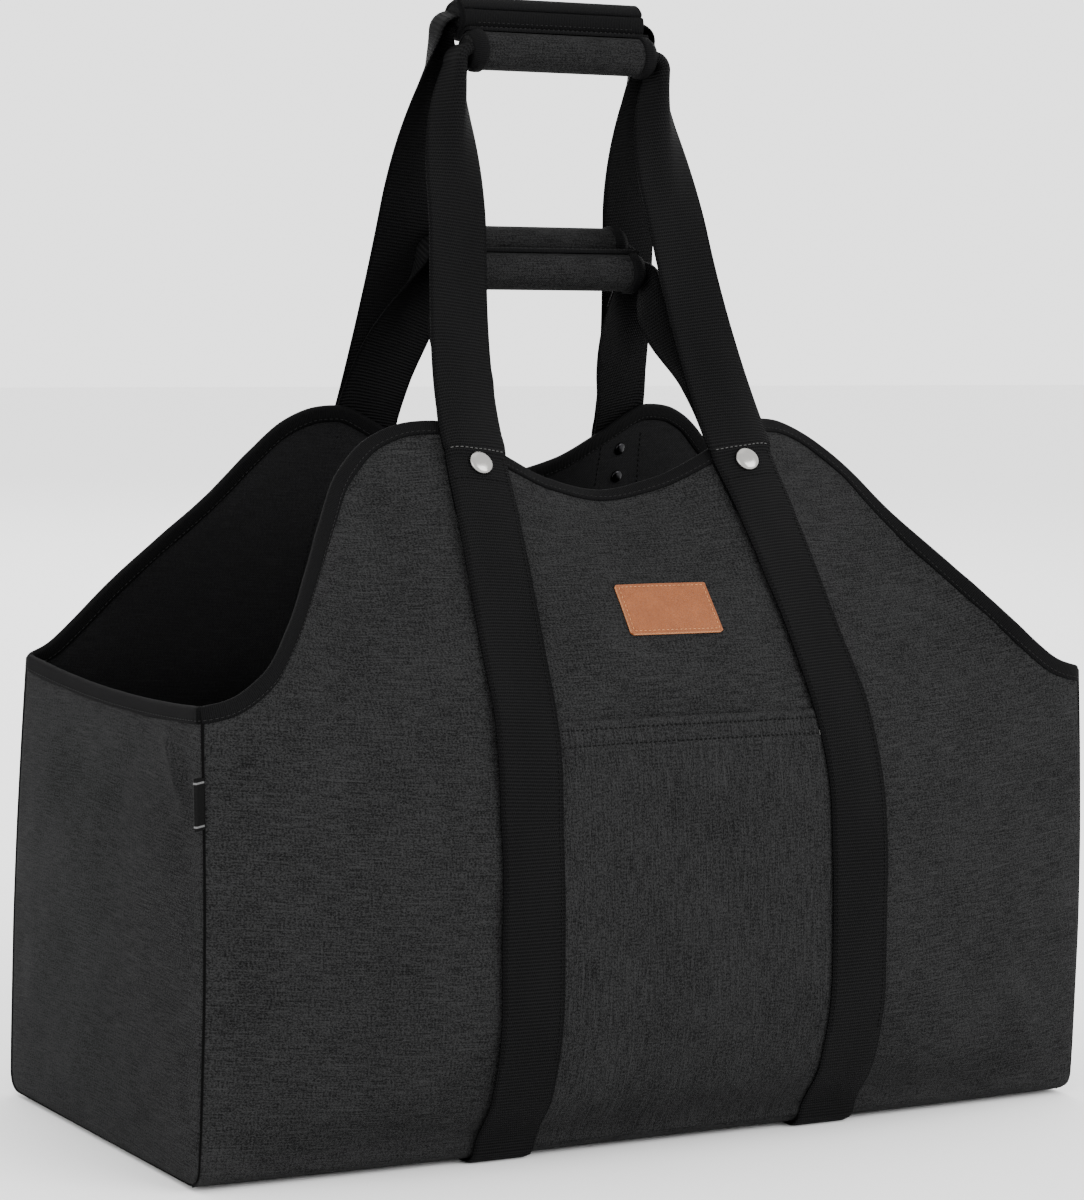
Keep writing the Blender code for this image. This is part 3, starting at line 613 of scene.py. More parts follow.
canvas = finish_of("waxed_canvas", (0.026, 0.026, 0.027), 0.85, canvas_build(),
                   Specular_IOR_Level=0.03)
canvas_turned = finish_of("waxed_canvas_turned", (0.026, 0.026, 0.027), 0.85,
                          canvas_build(True), Specular_IOR_Level=0.03)
# The grips' canvas is the same cloth painted 0.8 times as dark: painted shade on the grips.
canvas_grip_shaded = finish_of("waxed_canvas_grip_shaded", (0.020, 0.020, 0.021), 0.85,
                        canvas_build(depth=0.80), Specular_IOR_Level=0.03)
canvas_back = finish_of("canvas_inside", (0.008, 0.008, 0.0085), 0.9, canvas_inside,
                        Specular_IOR_Level=0.02)

# %% [markdown]
# ## Main panel
# Front, base and back are one length of canvas. The two wall grids meet in the middle of the
# base, so they are joined there into one grid and given a thickness as one shell.

# %% Main panel
def cloth_size(points):
    """Width, length and area of a grid of cloth: the longest row, the longest column, and every
    cell as half the cross product of its diagonals."""
    rows = np.linalg.norm(np.diff(points, axis=0), axis=-1).sum(axis=0).max()
    columns = np.linalg.norm(np.diff(points, axis=1), axis=-1).sum(axis=1).max()
    across = np.cross(points[1:, 1:] - points[:-1, :-1], points[1:, :-1] - points[:-1, 1:])
    return [round(float(size), 4) for size in
            (rows, columns, np.linalg.norm(across, axis=-1).sum() / 2)]


panel_points = np.concatenate([front_wall.points[:, :0:-1], back_wall.points], axis=1)
panel_thick = np.concatenate([front_wall.thick[:, :0:-1], back_wall.thick], axis=1)
panel_wear_and_seam_shade = np.concatenate([front_wall.wear_and_seam_shade[:, :0:-1], back_wall.wear_and_seam_shade], axis=1)
panel_height = np.concatenate([-front_wall.height[:, :0:-1], back_wall.height], axis=1)
panel_uv = np.stack([panel_points[..., 0], panel_height], axis=-1)
main_panel = shell("body_canvas", panel_points, panel_points - CANVAS * panel_thick,
                   panel_uv, panel_wear_and_seam_shade)
dress(main_panel, (canvas, canvas_back), "main_panel")
print("main panel", len(main_panel.data.vertices), "points", cloth_size(panel_points))

# %% [markdown]
# ## End panels
# Each end is its own panel, sewn in between front and back. Its side edges are the walls' corner
# edges, point for point, so the seam closes. Between them the cloth swells a little and the rim
# sags. A few soft creases run over it, the strongest of them at the top by the front seam.

# %% End panels
END_SHARES = np.concatenate([[0, 0.006, 0.013, 0.022, 0.034, 0.05], np.linspace(0.075, 0.925, 52),
                             1 - np.array([0.05, 0.034, 0.022, 0.013, 0.006, 0])])
END_CREASES = [
    # start and end as distance from the front and height, then the crease's width and rise
    ((0.052, 0.252), (0.008, 0.182), 0.0040, 0.0024),
    ((0.040, 0.252), (0.004, 0.200), 0.0060, -0.0016),
    ((0.075, 0.240), (0.110, 0.175), 0.0080, -0.0016),
    ((0.020, 0.060), (0.090, 0.030), 0.0090, 0.0012),
    ((0.150, 0.215), (0.215, 0.180), 0.0080, 0.0013),
]


def end_grid(side):
    """Straight lines between the two corner edges, a parabola's swell across them, a sine of
    the height for how much, and the same parabola for the sag of the rim."""
    column = 0 if side < 0 else -1
    first = np.searchsorted(front_wall.levels, 1.0)
    near = front_wall.points[column, first:]
    far = back_wall.points[column, first:]
    share = END_SHARES[:, None, None]
    flat = near * (1 - share) + far * share
    rounded = 1 - (2 * share[..., 0] - 1) ** 2
    height = flat[..., 2]
    swell = 2 * END_BULGE * bow(height) * rounded
    over_hem = np.clip((height - POCKET_HEIGHT) / (CORNER_HEIGHT - POCKET_HEIGHT), 0, 1)
    across = share[..., 0] * DEPTH + 0 * height
    hold = ease(rounded * 2.2) * ease((CORNER_HEIGHT - height) / 0.03) * ease(height / 0.05)
    push = END_DENT_DEPTH * dents(END_WAVES, across + (0.4 if side > 0 else 0.0), height)
    for start, end, width, rise in END_CREASES:
        push += rise * crease(across, height, start, end, width)
    flat[..., 0] += side * (swell + push * hold)
    flat[..., 2] -= END_RIM_SAG * over_hem * rounded
    from_seam = np.minimum(across, DEPTH - across)
    from_base = height - BASE_HEIGHT
    pinch = np.exp(-(from_seam / SEAM_WIDTH) ** 2) + np.exp(-(from_base / SEAM_WIDTH) ** 2)
    inner_cells = (from_seam > 0) & (from_base > 1e-5)
    flat[..., 0] -= side * SEAM_DEPTH * 0.7 * np.clip(pinch, 0, 1) * inner_cells
    return flat


def build_end(name, side, node):
    points = end_grid(side)
    outward = np.array([side, 0.0, 0.0])
    normals = grid_normals(points, outward)
    column = 0 if side < 0 else -1
    first = np.searchsorted(front_wall.levels, 1.0)
    thick = normals.copy()
    thick[0] = front_wall.thick[column, first:]
    thick[-1] = back_wall.thick[column, first:]
    thick[:, 0, 2] = -1.0
    uv = distances(points)
    height = points[..., 2]
    across = END_SHARES[:, None] * DEPTH
    from_seam = np.minimum(across, DEPTH - across)
    wear_and_seam_shade = (np.exp(-from_seam / 0.010) + np.exp(-(CORNER_HEIGHT - height) / 0.016)
            + np.exp(-height / 0.012)).clip(0, 1)
    # The same near-black seam line as on the walls: painted shade in the seam's groove.
    wear_and_seam_shade -= 4.0 * np.exp(-(from_seam / SEAM_SHADE_WIDTH) ** 2)
    made = shell(name, points, points - CANVAS * thick, uv, wear_and_seam_shade)
    dress(made, (canvas, canvas_back), node)
    print(name, cloth_size(points))


build_end("end_canvas_left", -1, "end_panel_left")
build_end("end_canvas_right", 1, "end_panel_right")

# %% [markdown]
# ## Binding
# Black tape is folded over the raw rim and stitched through. Its path is the loop of all four
# top edges. At each place three directions are needed: along the rim, down the cloth and out of
# it. They are averaged over neighbours, so the tape turns the corners as a soft bend, and its
# section is a U whose legs wander a little, as hand-guided tape does.

# %% Rim loop
def resample(path, step, closed=False):
    """Numbers of the path's points, as fractions, at equal distances along it."""
    so_far = run_length(path)
    count = max(2, int(round(so_far[-1] / step)) + 1)
    at = np.linspace(0, so_far[-1], count)[:-1 if closed else None]
    return np.interp(at, so_far, np.arange(len(so_far))), at


def read_at(values, numbers):
    low = np.minimum(numbers.astype(int), len(values) - 2)
    part = (numbers - low)[:, None]
    return values[low] * (1 - part) + values[low + 1] * part


def softened(values, rounds):
    """Averages each item of a closed loop with both its neighbours, several times."""
    for _ in range(rounds):
        values = (np.roll(values, 1, axis=0) + 2 * values + np.roll(values, -1, axis=0)) / 4
    return values


def rim_loop():
    """Points, down directions and outward normals round the rim, at equal distances."""
    tops, downs, outs = [], [], []
    for grid, outward in ((front_wall.points, (0, -1, 0)), (end_grid(1), (1, 0, 0)),
                          (back_wall.points[::-1], (0, 1, 0)), (end_grid(-1)[::-1], (-1, 0, 0))):
        outward = np.array(outward, float)
        tops.append(grid[:-1, -1])
        downs.append(unit(grid[:, -5] - grid[:, -1])[:-1])
        outs.append(grid_normals(grid, outward)[:-1, -1])
    tops, downs, outs = (np.concatenate(part + [part[0][:1]]) for part in (tops, downs, outs))
    numbers, at = resample(tops, RUN_STEP, closed=True)
    path = softened(read_at(tops, numbers), 2)
    along = unit(np.roll(path, -1, axis=0) - np.roll(path, 1, axis=0))
    out = unit(softened(read_at(outs, numbers), 6))
    out = unit(out - along * np.sum(out * along, axis=1, keepdims=True))
    down = softened(read_at(downs, numbers), 6)
    down = unit(down - along * np.sum(down * along, axis=1, keepdims=True)
                - out * np.sum(down * out, axis=1, keepdims=True))
    return path, down, out, at


def ring_mesh(name, sections, closed, uv=None):
    """A skin through closed sections. The ends of an open run are closed by one face each."""
    stations, around = sections.shape[:2]
    number = np.arange(stations * around).reshape(stations, around)
    if closed:
        number = np.concatenate([number, number[:1]])
    number = np.concatenate([number, number[:, :1]], axis=1)
    quads = cell_faces(number)
    points = sections.reshape(-1, 3)
    turned = outward_faces(points, quads)
    faces = turned.tolist()
    if not closed:
        ends = [number[0, :-1].tolist(), number[-1, -2::-1].tolist()]
        if turned is not quads:
            ends = [end[::-1] for end in ends]
        faces += [end[::-1] for end in ends]
    made = add_mesh(name, points, faces, None if uv is None else uv.reshape(-1, 2))
    made.data.set_sharp_from_angle(angle=math.radians(60))
    return made


# %% Binding tape
TAPE_RIB = 0.0011
TAPE_LEG = 0.0070


def tape_build(wire):
    """Fine ribs across the tape: a sine of the distance along it, with speckled threads."""
    u, v = cloth_place(wire)
    rib = (v * (2 * math.pi / TAPE_RIB)).sine()
    fuzz = noise(wire, join(u * 900, v * 900), 1.0, 3.0)
    colour = blend_colour((0.25 * rib + fuzz).limited(), (0.0012, 0.0012, 0.0013, 1.0),
                          (0.0048, 0.0048, 0.0050, 1.0))
    return {"Base Color": colour, "height": 0.5 * rib + fuzz, "relief": 0.00016}


tape = finish_of("binding_tape", (0.006, 0.006, 0.006), 0.78, tape_build,
                 Specular_IOR_Level=0.03)

rim_path, rim_down, rim_out, rim_at = rim_loop()
WANDER = np.random.default_rng(5)


def wander(count, rounds, size):
    """Random numbers smoothed round a loop and scaled to a size."""
    values = softened(WANDER.normal(size=(count, 1)), rounds)
    return size * values / np.abs(values).max()


def binding_sections():
    """A U over the cloth's edge: a half circle over the top and two straight legs, then the
    same again one tape's thickness inside, as one closed section."""
    count = len(rim_path)
    leg_out = TAPE_LEG + wander(count, 12, 0.0005)
    leg_in = TAPE_LEG + wander(count, 12, 0.0008)
    puff = 0.0003 + 0.0002 * np.abs(wander(count, 6, 1.0))
    middle = rim_path - rim_out * CANVAS / 2
    radius = CANVAS / 2 + TAPE + puff
    slot = CANVAS / 2 + 0.0002
    turn = np.linspace(0, np.pi, 9)
    sections = []
    for share in (1.0, 0.9, 0.5):
        bow = 1.0 - 0.28 * (share > 0.95)
        sections.append(middle + rim_out * radius * bow + rim_down * leg_out * share)
    for angle in turn:
        sections.append(middle + rim_out * radius * np.cos(angle)
                        - rim_down * radius * np.sin(angle))
    for share in (0.5, 0.9, 1.0):
        bow = 1.0 - 0.28 * (share > 0.95)
        sections.append(middle - rim_out * radius * bow + rim_down * leg_in * share)
    sections.append(middle - rim_out * slot + rim_down * leg_in)
    sections.append(middle - rim_out * slot)
    sections.append(middle + rim_out * slot)
    sections.append(middle + rim_out * slot + rim_down * leg_out)
    return np.stack(sections, axis=1)


def section_uv(sections, at):
    """Distance round each section, and the distance along the run."""
    around = np.linalg.norm(np.diff(sections, axis=1), axis=-1)
    around = np.concatenate([np.zeros((len(sections), 1)), np.cumsum(around, axis=1)], axis=1)
    return np.stack([around, np.repeat(at[:, None], sections.shape[1], axis=1)], axis=-1)


tape_sections = binding_sections()
binding = ring_mesh("rim_tape", tape_sections, True, section_uv(tape_sections, rim_at))
dress(binding, (tape,), "rim_binding")
print("binding runs", round(float(rim_at[-1]), 3), "m round the rim")

# %% [markdown]
# ## Webbing
# Cotton webbing has a coarse rib across its width, made by thick filling threads, and a plain
# weave of finer threads over it. Its edges are woven back on themselves and lie a little lower;
# here that is a darker band painted along each edge, painted shade, and the raised ribs and
# threads are painted lighter, painted highlight on their tops. All of that is in the strap's
# own two distances: one across, one along.

# %% Webbing finish
RIB = 0.0019
CORD = 0.0013


def webbing_build(wire):
    """Ribs as a sine along the strap, and over them a checker of two sines at thread pitch."""
    u, v = cloth_place(wire)
    rib = (v * (2 * math.pi / RIB)).sine()
    checker = (u * (2 * math.pi / CORD)).sine() * (v * (math.pi / RIB)).sine()
    fuzz = noise(wire, join(u * 1200, v * 1200), 1.0, 3.0)
    slow = noise(wire, join(u * 30, v * 9, 4.0), 1.0)
    # The edge band is painted darker: painted shade standing for edges that lie lower, which the
    # relief does not lower.
    edge = abs(u).step(0.0165, 0.0182)
    # The rib and checker terms paint the raised ribs and threads lighter: painted highlight on the
    # weave's tops.
    tone = (0.34 + 0.24 * rib + 0.24 * checker + 0.9 * (fuzz - 0.5) + 0.5 * (slow - 0.5)
            - 0.30 * edge)
    colour = blend_colour(tone.limited(), (0.0009, 0.0009, 0.0010, 1.0),
                          (0.0078, 0.0078, 0.0080, 1.0))
    height = 0.8 * rib + 0.5 * checker + 0.6 * fuzz
    return {"Base Color": colour, "height": height, "relief": 0.00030}


webbing = finish_of("black_webbing", (0.007, 0.007, 0.007), 0.70, webbing_build,
                    Specular_IOR_Level=0.035)

# %% [markdown]
# ## Handles
# Each strap climbs the wall, leaves it at the rim, swings in a smooth curve to its grip and
# folds in half lengthwise there, so that it fits a hand. The path is a Hermite curve: it leaves
# in the wall's direction and arrives in the grip's. The section is flat webbing whose middle
# bends by a growing angle while both flanks stay straight: the direction at each point is found
# first, and adding up the small steps in those directions gives the points.

# %% Handle paths
HANDLES = {
    # node: side, grip y and z, lean into the turn, where the fold starts, pull
    "long_strap_front": (-1, (0.029, 0.605), 0.14, 0.56, 0.5),
    "long_strap_back": (1, (0.0465, 0.6225), -0.24, 0.56, 0.5),
    "short_strap_front": (-1, (0.033, 0.480), 0.80, 0.35, 0.5),
    "short_strap_back": (1, (0.0535, 0.4942), -0.40, 0.30, 0.4),
}
FOLD_ARC = 0.0055
RIM_SHAPE_END = 0.5
TAPE_CLEAR = BINDING_DEPTH + 0.0008
CLIMB = 0.004
FLAT = np.linspace(-0.5, 0.5, 17)
EDGE = np.minimum(1.0, (0.5 - np.abs(FLAT)) * WEBBING_WIDTH / 0.0011)
OUTER_RISE = WEBBING * (0.72 + 0.28 * np.sqrt(EDGE))
INNER_RISE = WEBBING * 0.22 * (1 - np.sqrt(EDGE))
SECTION_SHARE = np.concatenate([FLAT, FLAT[::-1]])
SECTION_RISE = np.concatenate([OUTER_RISE, INNER_RISE[::-1]])


def wall_of(side):
    return front_wall if side < 0 else back_wall


def strap_centre(wall, level):
    """Straight up the wall, then in towards the handle as the cloth leans in."""
    height = wall.at(STRAP_BASE_X, level)[0][..., 2]
    rim = wall.at(STRAP_RIM_X, TOP_LEVEL)[0][2]
    start = LEAN_START * CORNER_HEIGHT
    share = np.clip((height - start) / (rim - start), 0, 1)
    return STRAP_BASE_X + (STRAP_RIM_X - STRAP_BASE_X) * share ** 1.2


def short_stand(drop):
    """How far the short strap stands off the cloth: it climbs over the binding."""
    return CLOTH_GAP + (TAPE + 0.0009) * ease((TAPE_CLEAR + CLIMB - drop) / CLIMB)


def long_stand(drop, front):
    """The long strap lies on the pocket's cloth low down, and on the short strap near the rim."""
    low = CLOTH_GAP + (POCKET_CLOTH if front else 0.0)
    over = short_stand(drop) + WEBBING + LAYER_GAP
    return low + (over - low) * ease((SHORT_STRAP_TAIL + 0.006 - drop) / 0.006)


def square_to_strap(wall, levels, across):
    """X and level of points beside the strap's middle line. Each goes out along its level and
    then up or down the cloth until it is square to the strap's run: by its distance times the
    cosine between the two directions."""
    centre = strap_centre(wall, levels)
    step = 0.05
    run = (wall.at(strap_centre(wall, levels + step), levels + step)[0]
           - wall.at(strap_centre(wall, levels - step), levels - step)[0]) / (2 * step)
    speed = np.linalg.norm(run, axis=-1)
    beside = unit(wall.at(centre + 0.012, levels)[0] - wall.at(centre - 0.012, levels)[0])
    slant = np.sum(beside * run, axis=-1) / speed ** 2
    sine = np.sqrt(1 - (slant * speed) ** 2)
    out = across / sine[..., None]
    raised = levels[..., None] - out * slant[..., None]
    drift = strap_centre(wall, raised) - centre[..., None]
    return centre[..., None] + drift + out * beside[..., None, 0], raised


def wall_part(wall, levels, stand):
    """Sections of a strap on the wall: points across it, each raised along the normal."""
    across = -wall.side * SECTION_SHARE[None] * WEBBING_WIDTH + 0 * levels[:, None]
    x, raised = square_to_strap(wall, levels, across)
    point, normal = wall.at(x, raised)
    return point + (stand[:, None] + SECTION_RISE)[..., None] * normal


def hermite(t, start, leave, end, arrive):
    """Cubic from start to end with a slope at each end, and its own slope."""
    t = t[:, None]
    place = ((2 * t ** 3 - 3 * t ** 2 + 1) * start + (t ** 3 - 2 * t ** 2 + t) * leave
             + (3 * t ** 2 - 2 * t ** 3) * end + (t ** 3 - t ** 2) * arrive)
    slope = ((6 * t ** 2 - 6 * t) * start + (3 * t ** 2 - 4 * t + 1) * leave
             + (6 * t - 6 * t ** 2) * end + (3 * t ** 2 - 2 * t) * arrive)
    return place, unit(slope)


def free_part(wall, grip, lean, start_share, pull, stand):
    """Sections from the rim to the middle of the grip, and how much of the rim's own shape
    each of them still keeps."""
    rim, rim_normal = wall.at(STRAP_RIM_X, TOP_LEVEL)
    below = wall.at(strap_centre(wall, TOP_LEVEL - 0.5), TOP_LEVEL - 0.5)[0]
    start = rim + (stand + WEBBING / 2) * rim_normal
    leave = unit(rim - below)
    arrive = unit(np.array([0.0, lean, 1.0]))
    inward = np.array([-1.0, 0.0, 0.0])
    turn = np.array([GRIP_LENGTH / 2, *grip]) - TURN_RADIUS * (inward + arrive)
    reach = np.linalg.norm(turn - start) * pull * 2
    side_normal = np.cross(-inward, arrive)
    side_normal = unit(side_normal * np.sign(side_normal[1]) * wall.side)
    share = np.linspace(0, 1, 60)
    centre, along = hermite(share, start, leave * reach, turn, arrive * reach)
    normal = rim_normal * (1 - share[:, None]) + side_normal * share[:, None]
    normal = unit(normal - along * np.sum(normal * along, axis=1, keepdims=True))
    opened = np.clip((share - start_share) / (1 - start_share), 0, 1)
    fold = opened ** 1.6
    angle = np.linspace(0, np.pi / 2, 11)[1:, None]
    round_turn = turn + TURN_RADIUS * (np.sin(angle) * arrive + (1 - np.cos(angle)) * inward)
    centre = np.concatenate([centre, round_turn, [[0.0, *grip]]])
    along = np.concatenate([along, np.cos(angle) * arrive + np.sin(angle) * inward, [inward]])
    rest = len(centre) - len(share)
    normal = np.concatenate([normal, np.repeat(side_normal[None], rest, axis=0)])
    fold = np.concatenate([fold, np.ones(rest)])
    kept = np.concatenate([1 - ease(share / RIM_SHAPE_END), np.zeros(rest)])
    across = np.cross(along, normal)
    bend = 0.97 * np.pi / 2 * fold[:, None] * np.sin(
        np.pi / 2 * np.clip(FLAT * WEBBING_WIDTH / FOLD_ARC, -1, 1))
    step = WEBBING_WIDTH / (len(FLAT) - 1)
    mean = (bend[:, 1:] + bend[:, :-1]) / 2
    half = len(FLAT) // 2
    aside = np.concatenate([0 * bend[:, :1], np.cumsum(step * np.cos(mean), axis=1)], axis=1)
    back = np.concatenate([0 * bend[:, :1], np.cumsum(step * np.sin(mean), axis=1)], axis=1)
    aside = aside - aside[:, half:half + 1]
    back = back - back[:, half:half + 1]
    lift = 0.5 * back[:, :1] * fold[:, None]
    there_and_back = np.concatenate([np.arange(len(FLAT)), np.arange(len(FLAT))[::-1]])
    rise = SECTION_RISE - WEBBING / 2
    aside = aside[:, there_and_back] + rise * np.sin(bend[:, there_and_back])
    back = (back - lift)[:, there_and_back] - rise * np.cos(bend[:, there_and_back])
    sections = (centre[:, None] + across[:, None] * aside[..., None]
                - normal[:, None] * back[..., None])
    return sections, kept


def strap_sections(node):
    """Half of a strap from its lower end to the middle of its grip, and its mirror image."""
    side, grip, lean, start_share, pull = HANDLES[node]
    wall = wall_of(side)
    long = node.startswith("long")
    first = 0.02 if long else wall.level_below_rim(STRAP_RIM_X, SHORT_STRAP_TAIL)
    levels = np.linspace(first, TOP_LEVEL, 400)
    path = wall.at(strap_centre(wall, levels), levels)[0]
    numbers, at = resample(path, RUN_STEP)
    levels = np.interp(numbers, np.arange(400), levels)
    drop = at[-1] - at
    stand = long_stand(drop, side < 0) if long else short_stand(drop)
    on_base = 1 - ease((levels - 0.8) / 1.5)
    stand = stand * (1 - on_base) + 0.0001 * on_base
    on_wall = wall_part(wall, levels, stand)
    free, kept = free_part(wall, grip, lean, start_share, pull, stand[-1])
    free = free + kept[:, None, None] * (on_wall[-1] - free[0])
    half = np.concatenate([on_wall, free[1:]])
    return np.concatenate([half, half[-2::-1] * np.array([-1.0, 1.0, 1.0])])


def build_webbing(name, node):
    sections = strap_sections(node)
    at = run_length(sections.mean(axis=1))
    uv = np.stack([np.repeat(SECTION_SHARE[None] * WEBBING_WIDTH, len(at), axis=0),
                   np.repeat(at[:, None], len(SECTION_SHARE), axis=1)], axis=-1)
    dress(ring_mesh(name, sections, False, uv), (webbing,), node)
    print(name, "is", round(float(at[-1]), 3), "m long")


for strap_node in HANDLES:
    build_webbing(strap_node.replace("strap", "webbing"), strap_node)

# %% [markdown]
# ## Pocket
# The pocket is one piece of canvas laid on the front, its sides caught under the straps. Its top
# edge is turned over into a hem of two more layers, so the cloth is thicker there, and the hem
# stands away from the wall a little where a hand goes in.

# %% Pocket
POCKET_GAPE = 0.0013
GAPE_DEPTH = 0.05
HEM = 0.0165
HEM_LAYERS = 0.0009
HEM_ROWS = (0.0045, 0.0128)


def pocket_freedom(x):
    """1 in the pocket's middle, falling to 0 where the straps hold its sides down."""
    held = STRAP_BASE_X - WEBBING_WIDTH / 2
    return np.clip(1 - (x / held) ** 2, 0, 1)


def build_pocket():
    """Rows from the fold to the hem: the stand off the wall grows to the top in the middle,
    and the thickness grows by a smooth step across the hem's lower edge."""
    wall = front_wall
    edge = STRAP_BASE_X + WEBBING_WIDTH / 4
    x = np.linspace(-edge, edge, 90)[:, None]
    levels = np.concatenate([np.linspace(FOLD_STEPS + 0.2, HEM_LEVEL - 0.8, 60)[:-1],
                             np.linspace(HEM_LEVEL - 0.8, HEM_LEVEL, 80)])[None]
    point, normal = wall.at(x + 0 * levels, levels + 0 * x)
    below = POCKET_HEIGHT - point[..., 2]
    free = pocket_freedom(x)
    gape = POCKET_GAPE * free * ease(1 - below / GAPE_DEPTH)
    hem = HEM_LAYERS * free ** 0.25 * (1 - ease((below - HEM) / 0.0012))
    lip = 0.55 * ease((0.0008 - below) / 0.0008)
    for row in HEM_ROWS:
        hem = hem - 0.0004 * free ** 0.25 * np.exp(-((below - row) / 0.0007) ** 2)
    outer = point + (CLOTH_GAP + gape + (0.7 * POCKET_CLOTH + hem) * (1 - lip))[..., None] * normal
    inner = point + (CLOTH_GAP + gape)[..., None] * normal
    wear_and_seam_shade = np.exp(-below / 0.006) + 0.5 * np.exp(-np.abs(below - HEM) / 0.002)
    made = shell("pocket_canvas", outer, inner, distances(outer), wear_and_seam_shade.clip(0, 1))
    dress(made, (canvas_turned, canvas_back), "front_pocket")
    print("pocket", cloth_size(outer))


build_pocket()

# %% [markdown]
# ## Leather patch
# The patch is a small rectangle of tan leather with rounded corners. A grid whose rows grow
# shorter towards the corners gives that outline. Its edge is pressed thinner and is paler, and
# a shallow groove takes the stitches. The face is left bare.

# %% Patch
PATCH_LENGTH = 0.060
PATCH_HEIGHT = 0.034
PATCH_LEATHER = 0.0013
PATCH_X = 0.006
PATCH_Z = 0.298
PATCH_CORNER = 0.0022
PATCH_SEAM = 0.0022
PATCH_LIFT = 0.0004
PATCH_GROOVE = 0.00035


def leather_build(wire):
    """Fine cells and slow clouds for the grain, paler at the cut edge."""
    u, v = cloth_place(wire)
    place = join(u, v)
    wear_and_seam_shade = wire.node("Attribute", {"attribute_name": "wear_and_seam_shade"}, output=2)
    pores = wire.node("TexVoronoi", {"feature": "DISTANCE_TO_EDGE"},
                      {"Vector": place, "Scale": 1500.0})
    clouds = noise(wire, place, 90.0, 5.0, 0.6)
    fibres = noise(wire, join(u * 500, v * 900, 2.0), 1.0, 3.0)
    tone = (0.25 + 0.6 * clouds + 0.25 * (fibres - 0.5) - 0.1 * wear_and_seam_shade).limited()
    colour = blend_colour(tone, (0.080, 0.020, 0.005, 1.0), (0.235, 0.072, 0.020, 1.0))
    colour = blend_colour(wear_and_seam_shade.step(0.3, 0.9), colour, (0.36, 0.16, 0.075, 1.0))
    height = 1.2 * pores.step(0.0, 0.25) + fibres
    return {"Base Color": colour, "Roughness": 0.62 - 0.2 * clouds, "height": height,
            "relief": 0.00010}


leather = finish_of("tan_leather", (0.22, 0.07, 0.02), 0.5, leather_build,
                    Specular_IOR_Level=0.2)


def patch_levels(across, up):
    """Levels at distances up and down the cloth from the patch's middle. Beside the middle, two
    steps along the slope bring each point to the height of its row."""
    levels = np.linspace(HEM_LEVEL - 0.5, TOP_LEVEL, 300)
    path = front_wall.at(PATCH_X, levels)[0]
    run = run_length(path)
    level = np.interp(up + np.interp(PATCH_Z, path[:, 2], run), run, levels)
    height = np.interp(level, levels, path[:, 2])
    for _ in range(2):
        here = front_wall.at(PATCH_X + across, level)[0][..., 2]
        above = front_wall.at(PATCH_X + across, level + 0.1)[0][..., 2]
        level = level + 0.1 * (height - here) / (above - here)
    return level


def close_to_ends(count):
    """Shares from -1 to 1 that lie closer together towards both ends, by a cubic."""
    t = np.linspace(-1, 1, count)
    return t * (1.25 - 0.25 * t ** 2)


def build_patch():
    """A rounded rectangle on the wall: each row's half length is cut back by how far the
    corner's circle has turned in at that height. The leather has its full thickness inside,
    falls off in a quarter circle at the edge, and has a groove for the stitches."""
    half = np.array([PATCH_LENGTH, PATCH_HEIGHT]) / 2
    up = half[1] * close_to_ends(36)
    over = np.maximum(0, np.abs(up) - (half[1] - PATCH_CORNER))
    reach = half[0] - PATCH_CORNER + np.sqrt(np.maximum(0, PATCH_CORNER ** 2 - over ** 2))
    across = close_to_ends(64)[:, None] * reach
    up = up[None] + 0 * across
    edge = np.minimum(half[0] - np.abs(across), half[1] - np.abs(up))
    rounded = np.sqrt(np.clip(1 - (1 - np.clip(edge / 0.0007, 0, 1)) ** 2, 0, 1))
    seam = np.exp(-((edge - PATCH_SEAM) / 0.0006) ** 2)
    rise = PATCH_LIFT + PATCH_LEATHER * (0.45 + 0.55 * rounded) - PATCH_GROOVE * seam
    point, normal = front_wall.at(PATCH_X + across, patch_levels(across, up))
    wear_and_seam_shade = (np.exp(-edge / 0.0006) + 0.25 * seam).clip(0, 1)
    return shell("patch", point + rise[..., None] * normal, point + 0.0002 * normal,
                 np.stack([across, up], axis=-1), wear_and_seam_shade)


patch = build_patch()
dress(patch, (leather, leather), "leather_patch")

# %% [markdown]
# ## Grips
# Each grip is a strip of canvas wrapped round foam and the curled webbing, bound at its ends and
# closed along one side, where two bound edges meet. The padded roll is blown up as cloth: it
# starts as a slim tube, held along its closing line and at both ends, and air pressure fills it
# between them. The bound edges and end bands are laid over the filled roll afterwards.

# %% Padded rolls
GRIPS = {
    # node: y and z of its middle, the angle of its closing line, from +Y towards +Z, and the
    # width of each bound edge
    "long_grip_front": ((0.029, 0.605), 1.10, 0.0070),
    "long_grip_back": ((0.0465, 0.6225), 2.62, 0.0110),
    "short_grip_front": ((0.033, 0.480), 1.25, 0.0070),
    "short_grip_back": ((0.0535, 0.4942), 3.75, 0.0070),
}
AROUND = 56
SIM_SCALE = 10.0


def roll_points(place, angle, radius, lengths=72, half=GRIP_LENGTH / 2):
    """A tube along X: rows of points round it, the first of them on the closing line. The
    closing line is drawn in by a bell curve of the angle."""
    x = np.linspace(-half, half, lengths)
    turn = np.linspace(0, 2 * np.pi, AROUND, endpoint=False)
    from_seam = np.minimum(turn, 2 * np.pi - turn)
    r = radius - 0.0010 * np.exp(-(from_seam / 0.22) ** 2)
    end = 1 - 0.12 * np.exp(-((half - np.abs(x)) / 0.003) ** 2)
    r = r[None] * end[:, None]
    return np.stack([x[:, None] + 0 * r, place[0] + r * np.cos(turn + angle),
                     place[1] + r * np.sin(turn + angle)], axis=-1)


